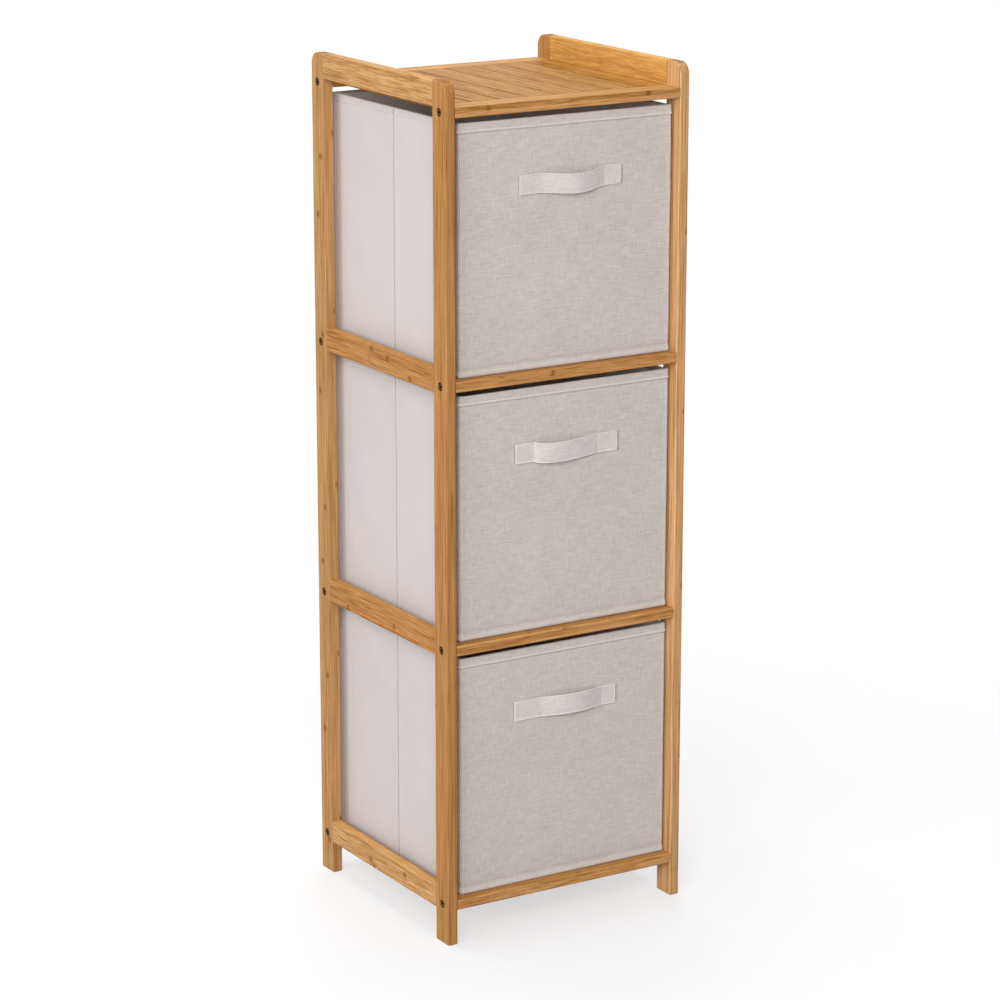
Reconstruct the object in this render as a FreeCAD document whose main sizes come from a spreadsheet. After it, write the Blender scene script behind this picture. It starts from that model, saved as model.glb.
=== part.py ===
import FreeCAD, Part
import os

import Sketcher

# Basket shelf: a slim bamboo stand with four slatted shelves and three folding fabric baskets.
# Millimetres. The origin is on the floor under the middle of the stand, the front faces -Y and Z is up.

doc = FreeCAD.newDocument("BasketShelf")

# Driving dimensions: name, value, what it is

SIZES = [
    ("overall_width", 320, "outer face to outer face of the two side frames"),
    ("overall_depth", 305, "front to back of the posts"),
    ("plank_thickness", 12.5, "posts and side rails, across the stand"),
    ("post_width", 28, "a post, front to back"),
    ("post_corner_radius", 14, "rounded upper outer corner of a post"),
    ("plank_edge_radius", 1.5, "eased edges of the planks"),
    ("joint_edge_radius", 0.5, "eased post edge that the side rails butt against"),
    ("first_shelf_level", 54, "floor to the top of the lowest shelf"),
    ("shelf_pitch", 306, "top of one shelf to the top of the next"),
    ("gallery_height", 28, "posts and top side rails above the top shelf"),
    ("gallery_lap", 1.2, "top side rails below the top of the top shelf"),
    ("side_rail_height", 27, "the three lower side rails"),
    ("side_rail_rise", 12, "top of a lower side rail above its shelf"),
    ("shelf_rail_depth", 28, "front and back rails of a shelf, front to back"),
    ("shelf_rail_height", 12, "front and back rails of a shelf, top to bottom"),
    ("slat_count", 8, "slats in a shelf"),
    ("slat_gap", 2, "between two slats"),
    ("slat_side_gap", 0.5, "between the outer slats and the side frames"),
    ("slat_thickness", 6, "a slat, top to bottom"),
    ("slat_edge_radius", 0.8, "eased long upper edges of a slat"),
    ("tongue_thickness", 3, "tongue at each end of a slat, level with its underside"),
    ("tongue_length", 7, "how far a tongue enters its rail"),
    ("tongue_clearance", 0.1, "around a tongue in its groove"),
    ("dowel_diameter", 6, "dowels between side rails and posts"),
    ("dowel_in_rail", 20, "how far a dowel enters the rail"),
    ("dowel_spacing", 14, "between the two dowels of a joint"),
    ("dowel_clearance", 0.05, "radial, around a dowel"),
    ("dowel_end_room", 0.4, "hole left past the end of a dowel"),
    ("dowel_end_wall", 0.6, "wood between a dowel hole and the bolt recess"),
    ("bolt_diameter", 6, "shank of a connector bolt"),
    ("bolt_length", 40, "under the head of a connector bolt"),
    ("bolt_head_diameter", 9.2, "head of a connector bolt"),
    ("bolt_head_height", 4, "head of a connector bolt"),
    ("bolt_head_depth", 0.6, "head below the face of the post"),
    ("bolt_head_clearance", 0.4, "radial, around the head in its recess"),
    ("bolt_clearance", 0.2, "radial, around the shank in the wood"),
    ("bolt_end_room", 2, "hole left past the end of a bolt"),
    ("socket_flats", 4, "hexagon socket, across flats"),
    ("socket_depth", 2.4, "hexagon socket"),
    ("nut_diameter", 9.5, "barrel nut"),
    ("nut_length", 8, "barrel nut, top to bottom"),
    ("nut_setback", 22, "end of the shelf rail to the middle of its nut"),
    ("nut_clearance", 0.1, "around a nut in its hole"),
    ("nut_slot_width", 1.2, "screwdriver slot in the lower end of a nut"),
    ("nut_slot_depth", 1.5, "screwdriver slot in the lower end of a nut"),
    ("thread_clearance", 0.05, "radial, around the bolt in its nut"),
    ("basket_side_clearance", 7, "basket to each side frame, when it stands in the middle"),
    ("basket_shift", 3.8, "middle of the baskets to the right of the middle of the stand"),
    ("basket_front_setback", 10.5, "front of the basket behind the front of the posts"),
    ("basket_back_setback", 4.5, "back of the basket in front of the back of the posts"),
    ("basket_head_gap", 8.2, "top of the basket to the shelf rails above"),
    ("rest_gap", 0.3, "under a piece that lies loose"),
    ("cloth_thickness", 1.2, "outer cloth of a basket"),
    ("hem_thickness", 0.6, "extra cloth at the hems of the front"),
    ("top_hem_height", 10, "sewn hem along the top of the front"),
    ("bottom_hem_height", 9, "rolled hem along the bottom of the front"),
    ("board_thickness", 2.5, "stiffener boards in the walls"),
    ("fold_gap", 3, "between the two boards of a side, at its fold"),
    ("lining_thickness", 0.8, "inner cloth of a basket"),
    ("layer_gap", 0.1, "between the layers of a wall"),
    ("rim_height", 7, "tape that closes the top of the walls"),
    ("base_board_thickness", 3, "loose base board"),
    ("base_board_clearance", 1.5, "base board to the lining"),
    ("strap_width", 25, "webbing of the handle, top to bottom"),
    ("strap_thickness", 1.6, "webbing of the handle"),
    ("strap_tab", 20, "sewn-down end of the handle"),
    ("strap_span", 98, "free part of the handle between its sewn ends"),
    ("strap_finger_gap", 8.2, "handle to the front cloth, at the middle"),
    ("strap_drop", 74.5, "top of the basket to the middle of the handle"),
]

# Sizes that follow from those: name, formula, what it is

PLACES = [
    ("inner_half_width", "=Sizes.overall_width / 2 - Sizes.plank_thickness", "middle to a side frame"),
    ("between_posts", "=Sizes.overall_depth - 2 * Sizes.post_width", "length of the side rails"),
    ("between_shelf_rails", "=Sizes.overall_depth - 2 * Sizes.shelf_rail_depth", "length of a slat's plank"),
    ("top_level", "=Sizes.first_shelf_level + 3 * Sizes.shelf_pitch", "top of the top shelf"),
    ("post_height", "=top_level + Sizes.gallery_height", "overall height"),
    ("bolt_recess_diameter", "=Sizes.bolt_head_diameter + 2 * Sizes.bolt_head_clearance", "recess in a post"),
    ("bolt_recess_depth", "=Sizes.bolt_head_depth + Sizes.bolt_head_height", "recess in a post"),
    ("bolt_hole_diameter", "=Sizes.bolt_diameter + 2 * Sizes.bolt_clearance", "hole in post and shelf rail"),
    ("bolt_hole_depth", "=bolt_recess_depth + Sizes.bolt_length - Sizes.plank_thickness + Sizes.bolt_end_room",
     "hole in the end of a shelf rail"),
    ("nut_hole_diameter", "=Sizes.nut_diameter + 2 * Sizes.nut_clearance", "hole under a shelf rail"),
    ("nut_hole_depth", "=(Sizes.shelf_rail_height + Sizes.nut_length) / 2 + Sizes.nut_clearance",
     "hole under a shelf rail"),
    ("dowel_hole_diameter", "=Sizes.dowel_diameter + 2 * Sizes.dowel_clearance", "hole in post and side rail"),
    ("dowel_hole_in_post", "=(Sizes.post_width - bolt_recess_diameter) / 2 - Sizes.dowel_end_wall",
     "depth of a dowel hole, short of the bolt recess"),
    ("dowel_in_post", "=dowel_hole_in_post - Sizes.dowel_end_room", "how far a dowel enters the post"),
    ("groove_height", "=Sizes.tongue_thickness + 2 * Sizes.tongue_clearance", "groove for the slats' tongues"),
    ("groove_depth", "=Sizes.tongue_length + Sizes.tongue_clearance", "groove for the slats' tongues"),
    ("slat_pitch", "=(2 * inner_half_width - 2 * Sizes.slat_side_gap + Sizes.slat_gap) / Sizes.slat_count",
     "one slat to the next"),
    ("basket_width", "=2 * inner_half_width - 2 * Sizes.basket_side_clearance", "basket, left to right"),
    ("basket_height", "=Sizes.shelf_pitch - Sizes.shelf_rail_height - Sizes.basket_head_gap - Sizes.rest_gap",
     "basket, top to bottom"),
    ("basket_left", "=Sizes.basket_shift - basket_width / 2", "left face of a basket"),
    ("basket_right", "=basket_left + basket_width", "right face of a basket"),
    ("basket_front", "=-Sizes.overall_depth / 2 + Sizes.basket_front_setback", "front face of the hems"),
    ("cloth_front", "=basket_front + Sizes.hem_thickness", "front face of the front cloth"),
    ("basket_back", "=Sizes.overall_depth / 2 - Sizes.basket_back_setback", "back face of a basket"),
    ("wall_depth", "=basket_back - cloth_front", "basket walls, front to back"),
    ("board_inset", "=Sizes.cloth_thickness + Sizes.layer_gap", "outer face to the stiffener boards"),
    ("lining_inset", "=board_inset + Sizes.board_thickness + Sizes.layer_gap", "outer face to the lining"),
    ("wall_thickness", "=lining_inset + Sizes.lining_thickness", "all layers of a basket wall"),
    ("board_height", "=basket_height - Sizes.rim_height - 2 * Sizes.layer_gap - Sizes.cloth_thickness",
     "stiffener boards, between the floor cloth and the rim tape"),
    ("strap_arch_radius", "=((Sizes.strap_span / 2) ^ 2 + Sizes.strap_finger_gap ^ 2) / (2 * Sizes.strap_finger_gap)",
     "inner face of the handle's bow"),
]

SHELVES = ["bottom", "lower", "upper", "top"]
BASKETS = ["bottom", "middle", "top"]

TURN_Z_TO = {
    "X": FreeCAD.Rotation(FreeCAD.Vector(0, 1, 0), 90),
    "Y": FreeCAD.Rotation(FreeCAD.Vector(1, 0, 0), -90),
    "Z": FreeCAD.Rotation(),
}
MIRROR_NORMALS = {
    "left to right": FreeCAD.Vector(1, 0, 0),
    "front to back": FreeCAD.Vector(0, 1, 0),
}
SHARP_ANGLE = 0.2
SAME_PLACE = 0.001

nodes = []


def make_sheet(name, rows):
    """A spreadsheet with one aliased cell per row."""
    sheet = doc.addObject("Spreadsheet::Sheet", name)
    for row, (alias, content, meaning) in enumerate(rows, start=1):
        sheet.set("A%d" % row, meaning)
        sheet.set("B%d" % row, str(content))
        sheet.setAlias("B%d" % row, alias)
    doc.recompute()
    return sheet


def bind(item, **expressions):
    """Tie an object's properties to the sheets."""
    for name, expression in expressions.items():
        item.setExpression(name, expression)


def place(item, x, y, z):
    """Tie an object's position to the sheets."""
    for axis, expression in (("x", x), ("y", y), ("z", z)):
        item.setExpression("Placement.Base." + axis, expression)


def keep(label, item):
    """Give a finished sub-part its name and put it on the list of sub-parts."""
    item.Label = label
    nodes.append(item)
    return item


def add_box(name, x, y, z, length, width, height):
    box = doc.addObject("Part::Box", name)
    bind(box, Length=length, Width=width, Height=height)
    place(box, x, y, z)
    return box


def add_cylinder(name, along, x, y, z, diameter, length):
    cylinder = doc.addObject("Part::Cylinder", name)
    cylinder.Placement = FreeCAD.Placement(FreeCAD.Vector(), TURN_Z_TO[along])
    bind(cylinder, Radius="(%s) / 2" % diameter, Height=length)
    place(cylinder, x, y, z)
    return cylinder


def cut_away(name, base, tool):
    cut = doc.addObject("Part::Cut", name)
    cut.Base = base
    cut.Tool = tool
    return cut


def fuse(name, pieces):
    union = doc.addObject("Part::MultiFuse", name)
    union.Shapes = pieces
    return union


def group(name, pieces):
    """Separate solids that share one object."""
    compound = doc.addObject("Part::Compound", name)
    compound.Links = pieces
    return compound


def mirrored(name, source, way):
    mirror = doc.addObject("Part::Mirroring", name)
    mirror.Source = source
    mirror.Normal = MIRROR_NORMALS[way]
    return mirror


def origin_feature(body, role):
    return next(feature for feature in body.Origin.OriginFeatures if feature.Role == role)


def add_sketch(body, name, plane_role, lift="0"):
    """A sketch on one of the body's own planes, lifted along the plane's normal."""
    sketch = body.newObject("Sketcher::SketchObject", name)
    sketch.AttachmentSupport = (origin_feature(body, plane_role), [""])
    sketch.MapMode = "FlatFace"
    sketch.setExpression("AttachmentOffset.Base.z", lift)
    return sketch


def tie(sketch, kind, points, expression):
    """A dimension of the sketch that follows the sheets."""
    value = float(sketch.evalExpression(expression))
    number = sketch.addConstraint(Sketcher.Constraint(kind, *points, value))
    sketch.setExpression("Constraints[%d]" % number, expression)


def draw_rectangle(sketch, left, low, wide, tall):
    """A rectangle placed from the sketch's origin."""
    x, y, dx, dy = [float(sketch.evalExpression(size)) for size in (left, low, wide, tall)]
    corners = [(x, y), (x + dx, y), (x + dx, y + dy), (x, y + dy)]
    points = [FreeCAD.Vector(across, up, 0) for across, up in corners]
    first = sketch.GeometryCount
    for start, end in zip(points, points[1:] + points[:1]):
        sketch.addGeometry(Part.LineSegment(start, end), False)
    bottom, right, top, left_side = range(first, first + 4)
    for line, following in ((bottom, right), (right, top), (top, left_side), (left_side, bottom)):
        sketch.addConstraint(Sketcher.Constraint("Coincident", line, 2, following, 1))
    for line in (bottom, top):
        sketch.addConstraint(Sketcher.Constraint("Horizontal", line))
    for line in (right, left_side):
        sketch.addConstraint(Sketcher.Constraint("Vertical", line))
    tie(sketch, "DistanceX", (-1, 1, bottom, 1), left)
    tie(sketch, "DistanceY", (-1, 1, bottom, 1), low)
    tie(sketch, "DistanceX", (bottom, 1, bottom, 2), wide)
    tie(sketch, "DistanceY", (right, 1, right, 2), tall)


def draw_circle(sketch, across, up, diameter):
    """A circle placed from the sketch's origin."""
    x, y, size = [float(sketch.evalExpression(value)) for value in (across, up, diameter)]
    centre = FreeCAD.Vector(x, y, 0)
    circle = sketch.addGeometry(Part.Circle(centre, FreeCAD.Vector(0, 0, 1), size / 2), False)
    tie(sketch, "DistanceX", (-1, 1, circle, 3), across)
    tie(sketch, "DistanceY", (-1, 1, circle, 3), up)
    tie(sketch, "Diameter", (circle,), diameter)


def add_pad(body, name, sketch, length, both_ways=False):
    pad = body.newObject("PartDesign::Pad", name)
    pad.Profile = sketch
    if both_ways:
        pad.SideType = "Symmetric"
    bind(pad, Length=length)
    doc.recompute()
    return pad


def add_pocket(body, name, sketch, depth=None, along_normal=False):
    """Cut a sketch into the body by a depth, or right through it both ways."""
    volume = body.Shape.Volume
    pocket = body.newObject("PartDesign::Pocket", name)
    pocket.Profile = sketch
    pocket.Reversed = along_normal
    if depth is None:
        pocket.Type = "ThroughAll"
        pocket.SideType = "Symmetric"
    else:
        bind(pocket, Length=depth)
    doc.recompute()
    if body.Shape.Volume >= volume:
        raise RuntimeError(name + " cuts nothing")
    return pocket


def add_mirror(body, name, feature, plane_role):
    mirror = body.newObject("PartDesign::Mirrored", name)
    mirror.Originals = [feature]
    mirror.MirrorPlane = (origin_feature(body, plane_role), [""])
    body.Tip = mirror
    doc.recompute()
    return mirror


def is_sharp(shape, edge):
    """True where the two faces at an edge meet at an angle."""
    middle = edge.valueAt((edge.FirstParameter + edge.LastParameter) / 2)
    normals = []
    for face in shape.ancestorsOfType(edge, Part.Face):
        normals.append(face.normalAt(*face.Surface.parameter(middle)))
    return len(normals) == 2 and normals[0].getAngle(normals[1]) > SHARP_ANGLE


def ease_edges(body, name, feature, radius, wanted):
    """Round the sharp edges of a feature whose middle point and direction are wanted."""
    edges = []
    for number, edge in enumerate(feature.Shape.Edges, start=1):
        chord = edge.Vertexes[-1].Point - edge.Vertexes[0].Point
        if is_sharp(feature.Shape, edge) and wanted(edge.CenterOfMass, chord):
            edges.append("Edge%d" % number)
    fillet = body.newObject("PartDesign::Fillet", name)
    fillet.Base = (feature, edges)
    bind(fillet, Radius=radius)
    doc.recompute()
    return fillet


def runs_along(chord, axis):
    """True for an edge that is parallel to an axis."""
    return abs(abs(chord.dot(axis)) - chord.Length) < SAME_PLACE


sizes = make_sheet("Sizes", SIZES)
places = make_sheet("Places", PLACES)

X_AXIS = FreeCAD.Vector(1, 0, 0)
Y_AXIS = FreeCAD.Vector(0, 1, 0)

# Shelf levels, side rails and dowels: heights that several pieces share

levels = ["Sizes.first_shelf_level + %d * Sizes.shelf_pitch" % number for number in range(len(SHELVES))]
bolt_heights = [level + " - Sizes.shelf_rail_height / 2" for level in levels]

side_rails = []
for shelf, level in zip(SHELVES[:-1], levels):
    side_rails.append((shelf, level + " + Sizes.side_rail_rise - Sizes.side_rail_height", "Sizes.side_rail_height"))
gallery_low = "Places.top_level - Sizes.gallery_lap"
side_rails.append((SHELVES[-1], gallery_low, "(Sizes.gallery_height + Sizes.gallery_lap)"))

dowel_heights = []
for shelf, low, tall in side_rails:
    for sign in ("-", "+"):
        dowel_heights.append("%s + %s / 2 %s Sizes.dowel_spacing / 2" % (low, tall, sign))


# Posts

def make_front_left_post():
    """A plank with a rounded upper front corner, bolt holes from its outer face and dowel holes behind."""
    body = doc.addObject("PartDesign::Body", "FrontLeftPost")
    outline = add_sketch(body, "PostOutline", "YZ_Plane")
    draw_rectangle(outline, "0", "0", "Sizes.post_width", "Places.post_height")
    plank = add_pad(body, "PostPlank", outline, "Sizes.plank_thickness")
    tall = float(places.get("post_height"))
    wide = float(sizes.get("post_width"))

    def upper_front(middle, chord):
        return runs_along(chord, X_AXIS) and middle.y < SAME_PLACE and middle.z > tall - SAME_PLACE

    def beside_rails(middle, chord):
        return middle.y > wide - SAME_PLACE

    def elsewhere(middle, chord):
        return not beside_rails(middle, chord)

    rounded = ease_edges(body, "PostCorner", plank, "Sizes.post_corner_radius", upper_front)
    eased = ease_edges(body, "PostEdges", rounded, "Sizes.plank_edge_radius", elsewhere)
    ease_edges(body, "PostJointEdges", eased, "Sizes.joint_edge_radius", beside_rails)

    recesses = add_sketch(body, "BoltRecessOutlines", "YZ_Plane")
    holes = add_sketch(body, "BoltHoleOutlines", "YZ_Plane")
    for height in bolt_heights:
        draw_circle(recesses, "Sizes.post_width / 2", height, "Places.bolt_recess_diameter")
        draw_circle(holes, "Sizes.post_width / 2", height, "Places.bolt_hole_diameter")
    add_pocket(body, "BoltRecesses", recesses, "Places.bolt_recess_depth", along_normal=True)
    add_pocket(body, "BoltHoles", holes, "Sizes.plank_thickness", along_normal=True)

    dowels = add_sketch(body, "DowelHoleOutlines", "XZ_Plane", "-Sizes.post_width")
    for height in dowel_heights:
        draw_circle(dowels, "Sizes.plank_thickness / 2", height, "Places.dowel_hole_diameter")
    add_pocket(body, "DowelHoles", dowels, "Places.dowel_hole_in_post", along_normal=True)
    place(body, "-Sizes.overall_width / 2", "-Sizes.overall_depth / 2", "0")
    return body


front_left = keep("front_left_post", make_front_left_post())
front_right = keep("front_right_post", mirrored("FrontRightPost", front_left, "left to right"))
keep("back_left_post", mirrored("BackLeftPost", front_left, "front to back"))
keep("back_right_post", mirrored("BackRightPost", front_right, "front to back"))


# Side rails

def make_left_rail(shelf, low, tall):
    """A plank between the left posts, with two dowel holes in each end."""
    body = doc.addObject("PartDesign::Body", shelf.title() + "LeftRail")
    section = add_sketch(body, shelf.title() + "RailSection", "XZ_Plane")
    draw_rectangle(section, "0", "0", "Sizes.plank_thickness", tall)
    plank = add_pad(body, shelf.title() + "RailPlank", section, "Places.between_posts", both_ways=True)

    def long_edge(middle, chord):
        return runs_along(chord, Y_AXIS)

    ease_edges(body, shelf.title() + "RailEdges", plank, "Sizes.plank_edge_radius", long_edge)
    dowels = add_sketch(body, shelf.title() + "RailDowelOutlines", "XZ_Plane", "-Places.between_posts / 2")
    for sign in ("-", "+"):
        height = "%s / 2 %s Sizes.dowel_spacing / 2" % (tall, sign)
        draw_circle(dowels, "Sizes.plank_thickness / 2", height, "Places.dowel_hole_diameter")
    depth = "Sizes.dowel_in_rail + Sizes.dowel_end_room"
    holes = add_pocket(body, shelf.title() + "RailDowelHoles", dowels, depth, along_normal=True)
    add_mirror(body, shelf.title() + "RailOtherEnd", holes, "XZ_Plane")
    place(body, "-Sizes.overall_width / 2", "0", low)
    return body


for shelf, low, tall in side_rails:
    left_rail = keep("left_%s_rail" % shelf, make_left_rail(shelf, low, tall))
    keep("right_%s_rail" % shelf, mirrored(shelf.title() + "RightRail", left_rail, "left to right"))


# Dowels between the side rails and the posts

def make_left_dowels():
    """Two dowels across each joint of the left side frame."""
    length = "Sizes.dowel_in_rail + Places.dowel_in_post"
    starts = {
        "Back": "Places.between_posts / 2 - Sizes.dowel_in_rail",
        "Front": "-Places.between_posts / 2 - Places.dowel_in_post",
    }
    dowels = []
    for number, height in enumerate(dowel_heights, start=1):
        for end, start in starts.items():
            x = "-Sizes.overall_width / 2 + Sizes.plank_thickness / 2"
            name = "%sDowel%d" % (end, number)
            dowels.append(add_cylinder(name, "Y", x, start, height, "Sizes.dowel_diameter", length))
    return group("LeftDowels", dowels)


left_dowels = keep("left_frame_dowels", make_left_dowels())
keep("right_frame_dowels", mirrored("RightDowels", left_dowels, "left to right"))


# Shelves

def make_front_shelf_rail(shelf, level):
    """A flat plank with a groove for the slats, a bolt hole in each end and a nut hole below each."""
    body = doc.addObject("PartDesign::Body", shelf.title() + "FrontRail")
    section = add_sketch(body, shelf.title() + "ShelfRailSection", "YZ_Plane")
    draw_rectangle(section, "0", "0", "Sizes.shelf_rail_depth", "Sizes.shelf_rail_height")
    length = "2 * Places.inner_half_width"
    plank = add_pad(body, shelf.title() + "ShelfRailPlank", section, length, both_ways=True)

    def long_edge(middle, chord):
        return runs_along(chord, X_AXIS)

    ease_edges(body, shelf.title() + "ShelfRailEdges", plank, "Sizes.plank_edge_radius", long_edge)

    groove = add_sketch(body, shelf.title() + "GrooveSection", "YZ_Plane")
    groove_back = "Sizes.shelf_rail_depth - Places.groove_depth"
    groove_low = "Sizes.shelf_rail_height - Sizes.slat_thickness - Sizes.tongue_clearance"
    draw_rectangle(groove, groove_back, groove_low, "Places.groove_depth", "Places.groove_height")
    add_pocket(body, shelf.title() + "Groove", groove)

    bolt = add_sketch(body, shelf.title() + "RailBoltOutline", "YZ_Plane", "Places.inner_half_width")
    draw_circle(bolt, "Sizes.post_width / 2", "Sizes.shelf_rail_height / 2", "Places.bolt_hole_diameter")
    bolt_hole = add_pocket(body, shelf.title() + "RailBoltHole", bolt, "Places.bolt_hole_depth")
    add_mirror(body, shelf.title() + "RailBoltHoles", bolt_hole, "YZ_Plane")

    nut = add_sketch(body, shelf.title() + "NutOutline", "XY_Plane")
    nut_across = "Places.inner_half_width - Sizes.nut_setback"
    draw_circle(nut, nut_across, "Sizes.post_width / 2", "Places.nut_hole_diameter")
    nut_hole = add_pocket(body, shelf.title() + "NutHole", nut, "Places.nut_hole_depth", along_normal=True)
    add_mirror(body, shelf.title() + "NutHoles", nut_hole, "YZ_Plane")
    place(body, "0", "-Sizes.overall_depth / 2", level + " - Sizes.shelf_rail_height")
    return body


def make_slats(shelf, level):
    """A row of planks from front to back, each with a tongue at both ends."""
    body = doc.addObject("PartDesign::Body", shelf.title() + "Slats")
    width = "Places.slat_pitch - Sizes.slat_gap"
    plank_outline = add_sketch(body, shelf.title() + "SlatOutline", "YZ_Plane")
    plank_length = "Places.between_shelf_rails"
    draw_rectangle(plank_outline, "Sizes.tongue_length", "0", plank_length, "Sizes.slat_thickness")
    plank = add_pad(body, shelf.title() + "SlatPlank", plank_outline, width)
    thick = float(sizes.get("slat_thickness"))

    def upper_long_edge(middle, chord):
        return runs_along(chord, Y_AXIS) and middle.z > thick - SAME_PLACE

    ease_edges(body, shelf.title() + "SlatEdges", plank, "Sizes.slat_edge_radius", upper_long_edge)
    tongue_outline = add_sketch(body, shelf.title() + "TongueOutline", "YZ_Plane")
    tongue_span = "Places.between_shelf_rails + 2 * Sizes.tongue_length"
    draw_rectangle(tongue_outline, "0", "0", tongue_span, "Sizes.tongue_thickness")
    add_pad(body, shelf.title() + "SlatTongue", tongue_outline, width)

    row = body.newObject("PartDesign::LinearPattern", shelf.title() + "SlatRow")
    row.TransformMode = "Whole shape"
    row.Direction = (origin_feature(body, "X_Axis"), [""])
    row.Mode = "Spacing"
    bind(row, Offset="Places.slat_pitch", Occurrences="Sizes.slat_count")
    body.Tip = row
    doc.recompute()
    left = "-Places.inner_half_width + Sizes.slat_side_gap"
    front = "-Places.between_shelf_rails / 2 - Sizes.tongue_length"
    place(body, left, front, level + " - Sizes.slat_thickness")
    return body


for shelf, level in zip(SHELVES, levels):
    front_rail = keep("%s_shelf_front_rail" % shelf, make_front_shelf_rail(shelf, level))
    keep("%s_shelf_back_rail" % shelf, mirrored(shelf.title() + "BackRail", front_rail, "front to back"))
    keep("%s_shelf_slats" % shelf, make_slats(shelf, level))


# Connector bolts and barrel nuts

BOLT_DEPTH_PLACE = "-Sizes.overall_depth / 2 + Sizes.post_width / 2"
BOLT_HEAD_FACE = "-Sizes.overall_width / 2 + Sizes.bolt_head_depth"


def make_bolt(number, height):
    """Round head with a hexagon socket on a plain shank, pointing into the stand from the left."""
    y = BOLT_DEPTH_PLACE
    under_head = BOLT_HEAD_FACE + " + Sizes.bolt_head_height"
    head = add_cylinder("BoltHead%d" % number, "X", BOLT_HEAD_FACE, y, height,
                        "Sizes.bolt_head_diameter", "Sizes.bolt_head_height")
    shank = add_cylinder("BoltShank%d" % number, "X", under_head, y, height,
                         "Sizes.bolt_diameter", "Sizes.bolt_length")
    socket = doc.addObject("Part::Prism", "BoltSocket%d" % number)
    socket.Polygon = 6
    socket.Placement = FreeCAD.Placement(FreeCAD.Vector(), TURN_Z_TO["X"])
    bind(socket, Circumradius="Sizes.socket_flats / sqrt(3)", Height="Sizes.socket_depth")
    place(socket, BOLT_HEAD_FACE, y, height)
    return cut_away("Bolt%d" % number, fuse("BoltBlank%d" % number, [head, shank]), socket)


def make_nut(number, height):
    """Upright barrel with a cross hole for the bolt and a screwdriver slot below."""
    x = "-Places.inner_half_width + Sizes.nut_setback"
    y = BOLT_DEPTH_PLACE
    low = height + " - Sizes.nut_length / 2"
    barrel = add_cylinder("NutBarrel%d" % number, "Z", x, y, low, "Sizes.nut_diameter", "Sizes.nut_length")
    hole_start = x + " - Sizes.nut_diameter"
    hole_size = "Sizes.bolt_diameter + 2 * Sizes.thread_clearance"
    hole = add_cylinder("NutHole%d" % number, "X", hole_start, y, height, hole_size, "2 * Sizes.nut_diameter")
    slot_left = x + " - Sizes.nut_diameter / 2"
    slot_front = y + " - Sizes.nut_slot_width / 2"
    slot = add_box("NutSlot%d" % number, slot_left, slot_front, low,
                   "Sizes.nut_diameter", "Sizes.nut_slot_width", "Sizes.nut_slot_depth")
    return cut_away("Nut%d" % number, barrel, fuse("NutCuts%d" % number, [hole, slot]))


def in_four_corners(name, pieces):
    """The front left pieces and their mirror images in the other three corners."""
    front_left_set = group(name + "FrontLeft", pieces)
    front_right_set = mirrored(name + "FrontRight", front_left_set, "left to right")
    back_left_set = mirrored(name + "BackLeft", front_left_set, "front to back")
    back_right_set = mirrored(name + "BackRight", front_right_set, "front to back")
    return group(name, [front_left_set, front_right_set, back_left_set, back_right_set])


bolts = [make_bolt(number, height) for number, height in enumerate(bolt_heights, start=1)]
nuts = [make_nut(number, height) for number, height in enumerate(bolt_heights, start=1)]
keep("connector_bolts", in_four_corners("Bolts", bolts))
keep("barrel_nuts", in_four_corners("Nuts", nuts))


# Baskets

def wall_panels(name, floor, inset, thickness, low, tall, fold=None):
    """One layer of the four walls, a given way in from the outer faces. A fold parts each side in two."""
    left = "Places.basket_left + %s" % inset
    right = "Places.basket_right - %s - %s" % (inset, thickness)
    front = "Places.cloth_front + %s" % inset
    back = "Places.basket_back - %s - %s" % (inset, thickness)
    across = "Places.basket_width - 2 * %s" % inset
    side_front = "%s + %s + Sizes.layer_gap" % (front, thickness)
    side_run = "Places.wall_depth - 2 * %s - 2 * %s - 2 * Sizes.layer_gap" % (inset, thickness)
    z = "%s + %s" % (floor, low)
    panels = [
        add_box(name + "Front", left, front, z, across, thickness, tall),
        add_box(name + "Back", left, back, z, across, thickness, tall),
    ]
    for side, x in (("Left", left), ("Right", right)):
        if fold is None:
            panels.append(add_box(name + side, x, side_front, z, thickness, side_run, tall))
            continue
        half_run = "(%s - %s) / 2" % (side_run, fold)
        second_front = "%s + %s + %s" % (side_front, half_run, fold)
        panels.append(add_box(name + side + "FrontHalf", x, side_front, z, thickness, half_run, tall))
        panels.append(add_box(name + side + "BackHalf", x, second_front, z, thickness, half_run, tall))
    return group(name, panels)


def make_front_cloth(name, floor):
    """The front's sheet with a thicker hem along its top and bottom."""
    left = "Places.basket_left"
    width = "Places.basket_width"
    sheet_front = "Places.cloth_front"
    hem_front = "Places.basket_front"
    top_hem_low = floor + " + Places.basket_height - Sizes.top_hem_height"
    sheet = add_box(name + "Sheet", left, sheet_front, floor, width, "Sizes.cloth_thickness", "Places.basket_height")
    top_hem = add_box(name + "TopHem", left, hem_front, top_hem_low, width,
                      "Sizes.hem_thickness", "Sizes.top_hem_height")
    bottom_hem = add_box(name + "BottomHem", left, hem_front, floor, width,
                         "Sizes.hem_thickness", "Sizes.bottom_hem_height")
    return fuse(name, [sheet, top_hem, bottom_hem])


def make_side_cloths(name, floor):
    """The left and right outer sheets, between the front sheet and the basket's back."""
    front = "Places.cloth_front + Sizes.cloth_thickness"
    run = "Places.wall_depth - Sizes.cloth_thickness"
    right = "Places.basket_right - Sizes.cloth_thickness"
    sheets = []
    for side, x in (("Left", "Places.basket_left"), ("Right", right)):
        sheets.append(add_box(name + side, x, front, floor, "Sizes.cloth_thickness", run, "Places.basket_height"))
    return group(name, sheets)


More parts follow.
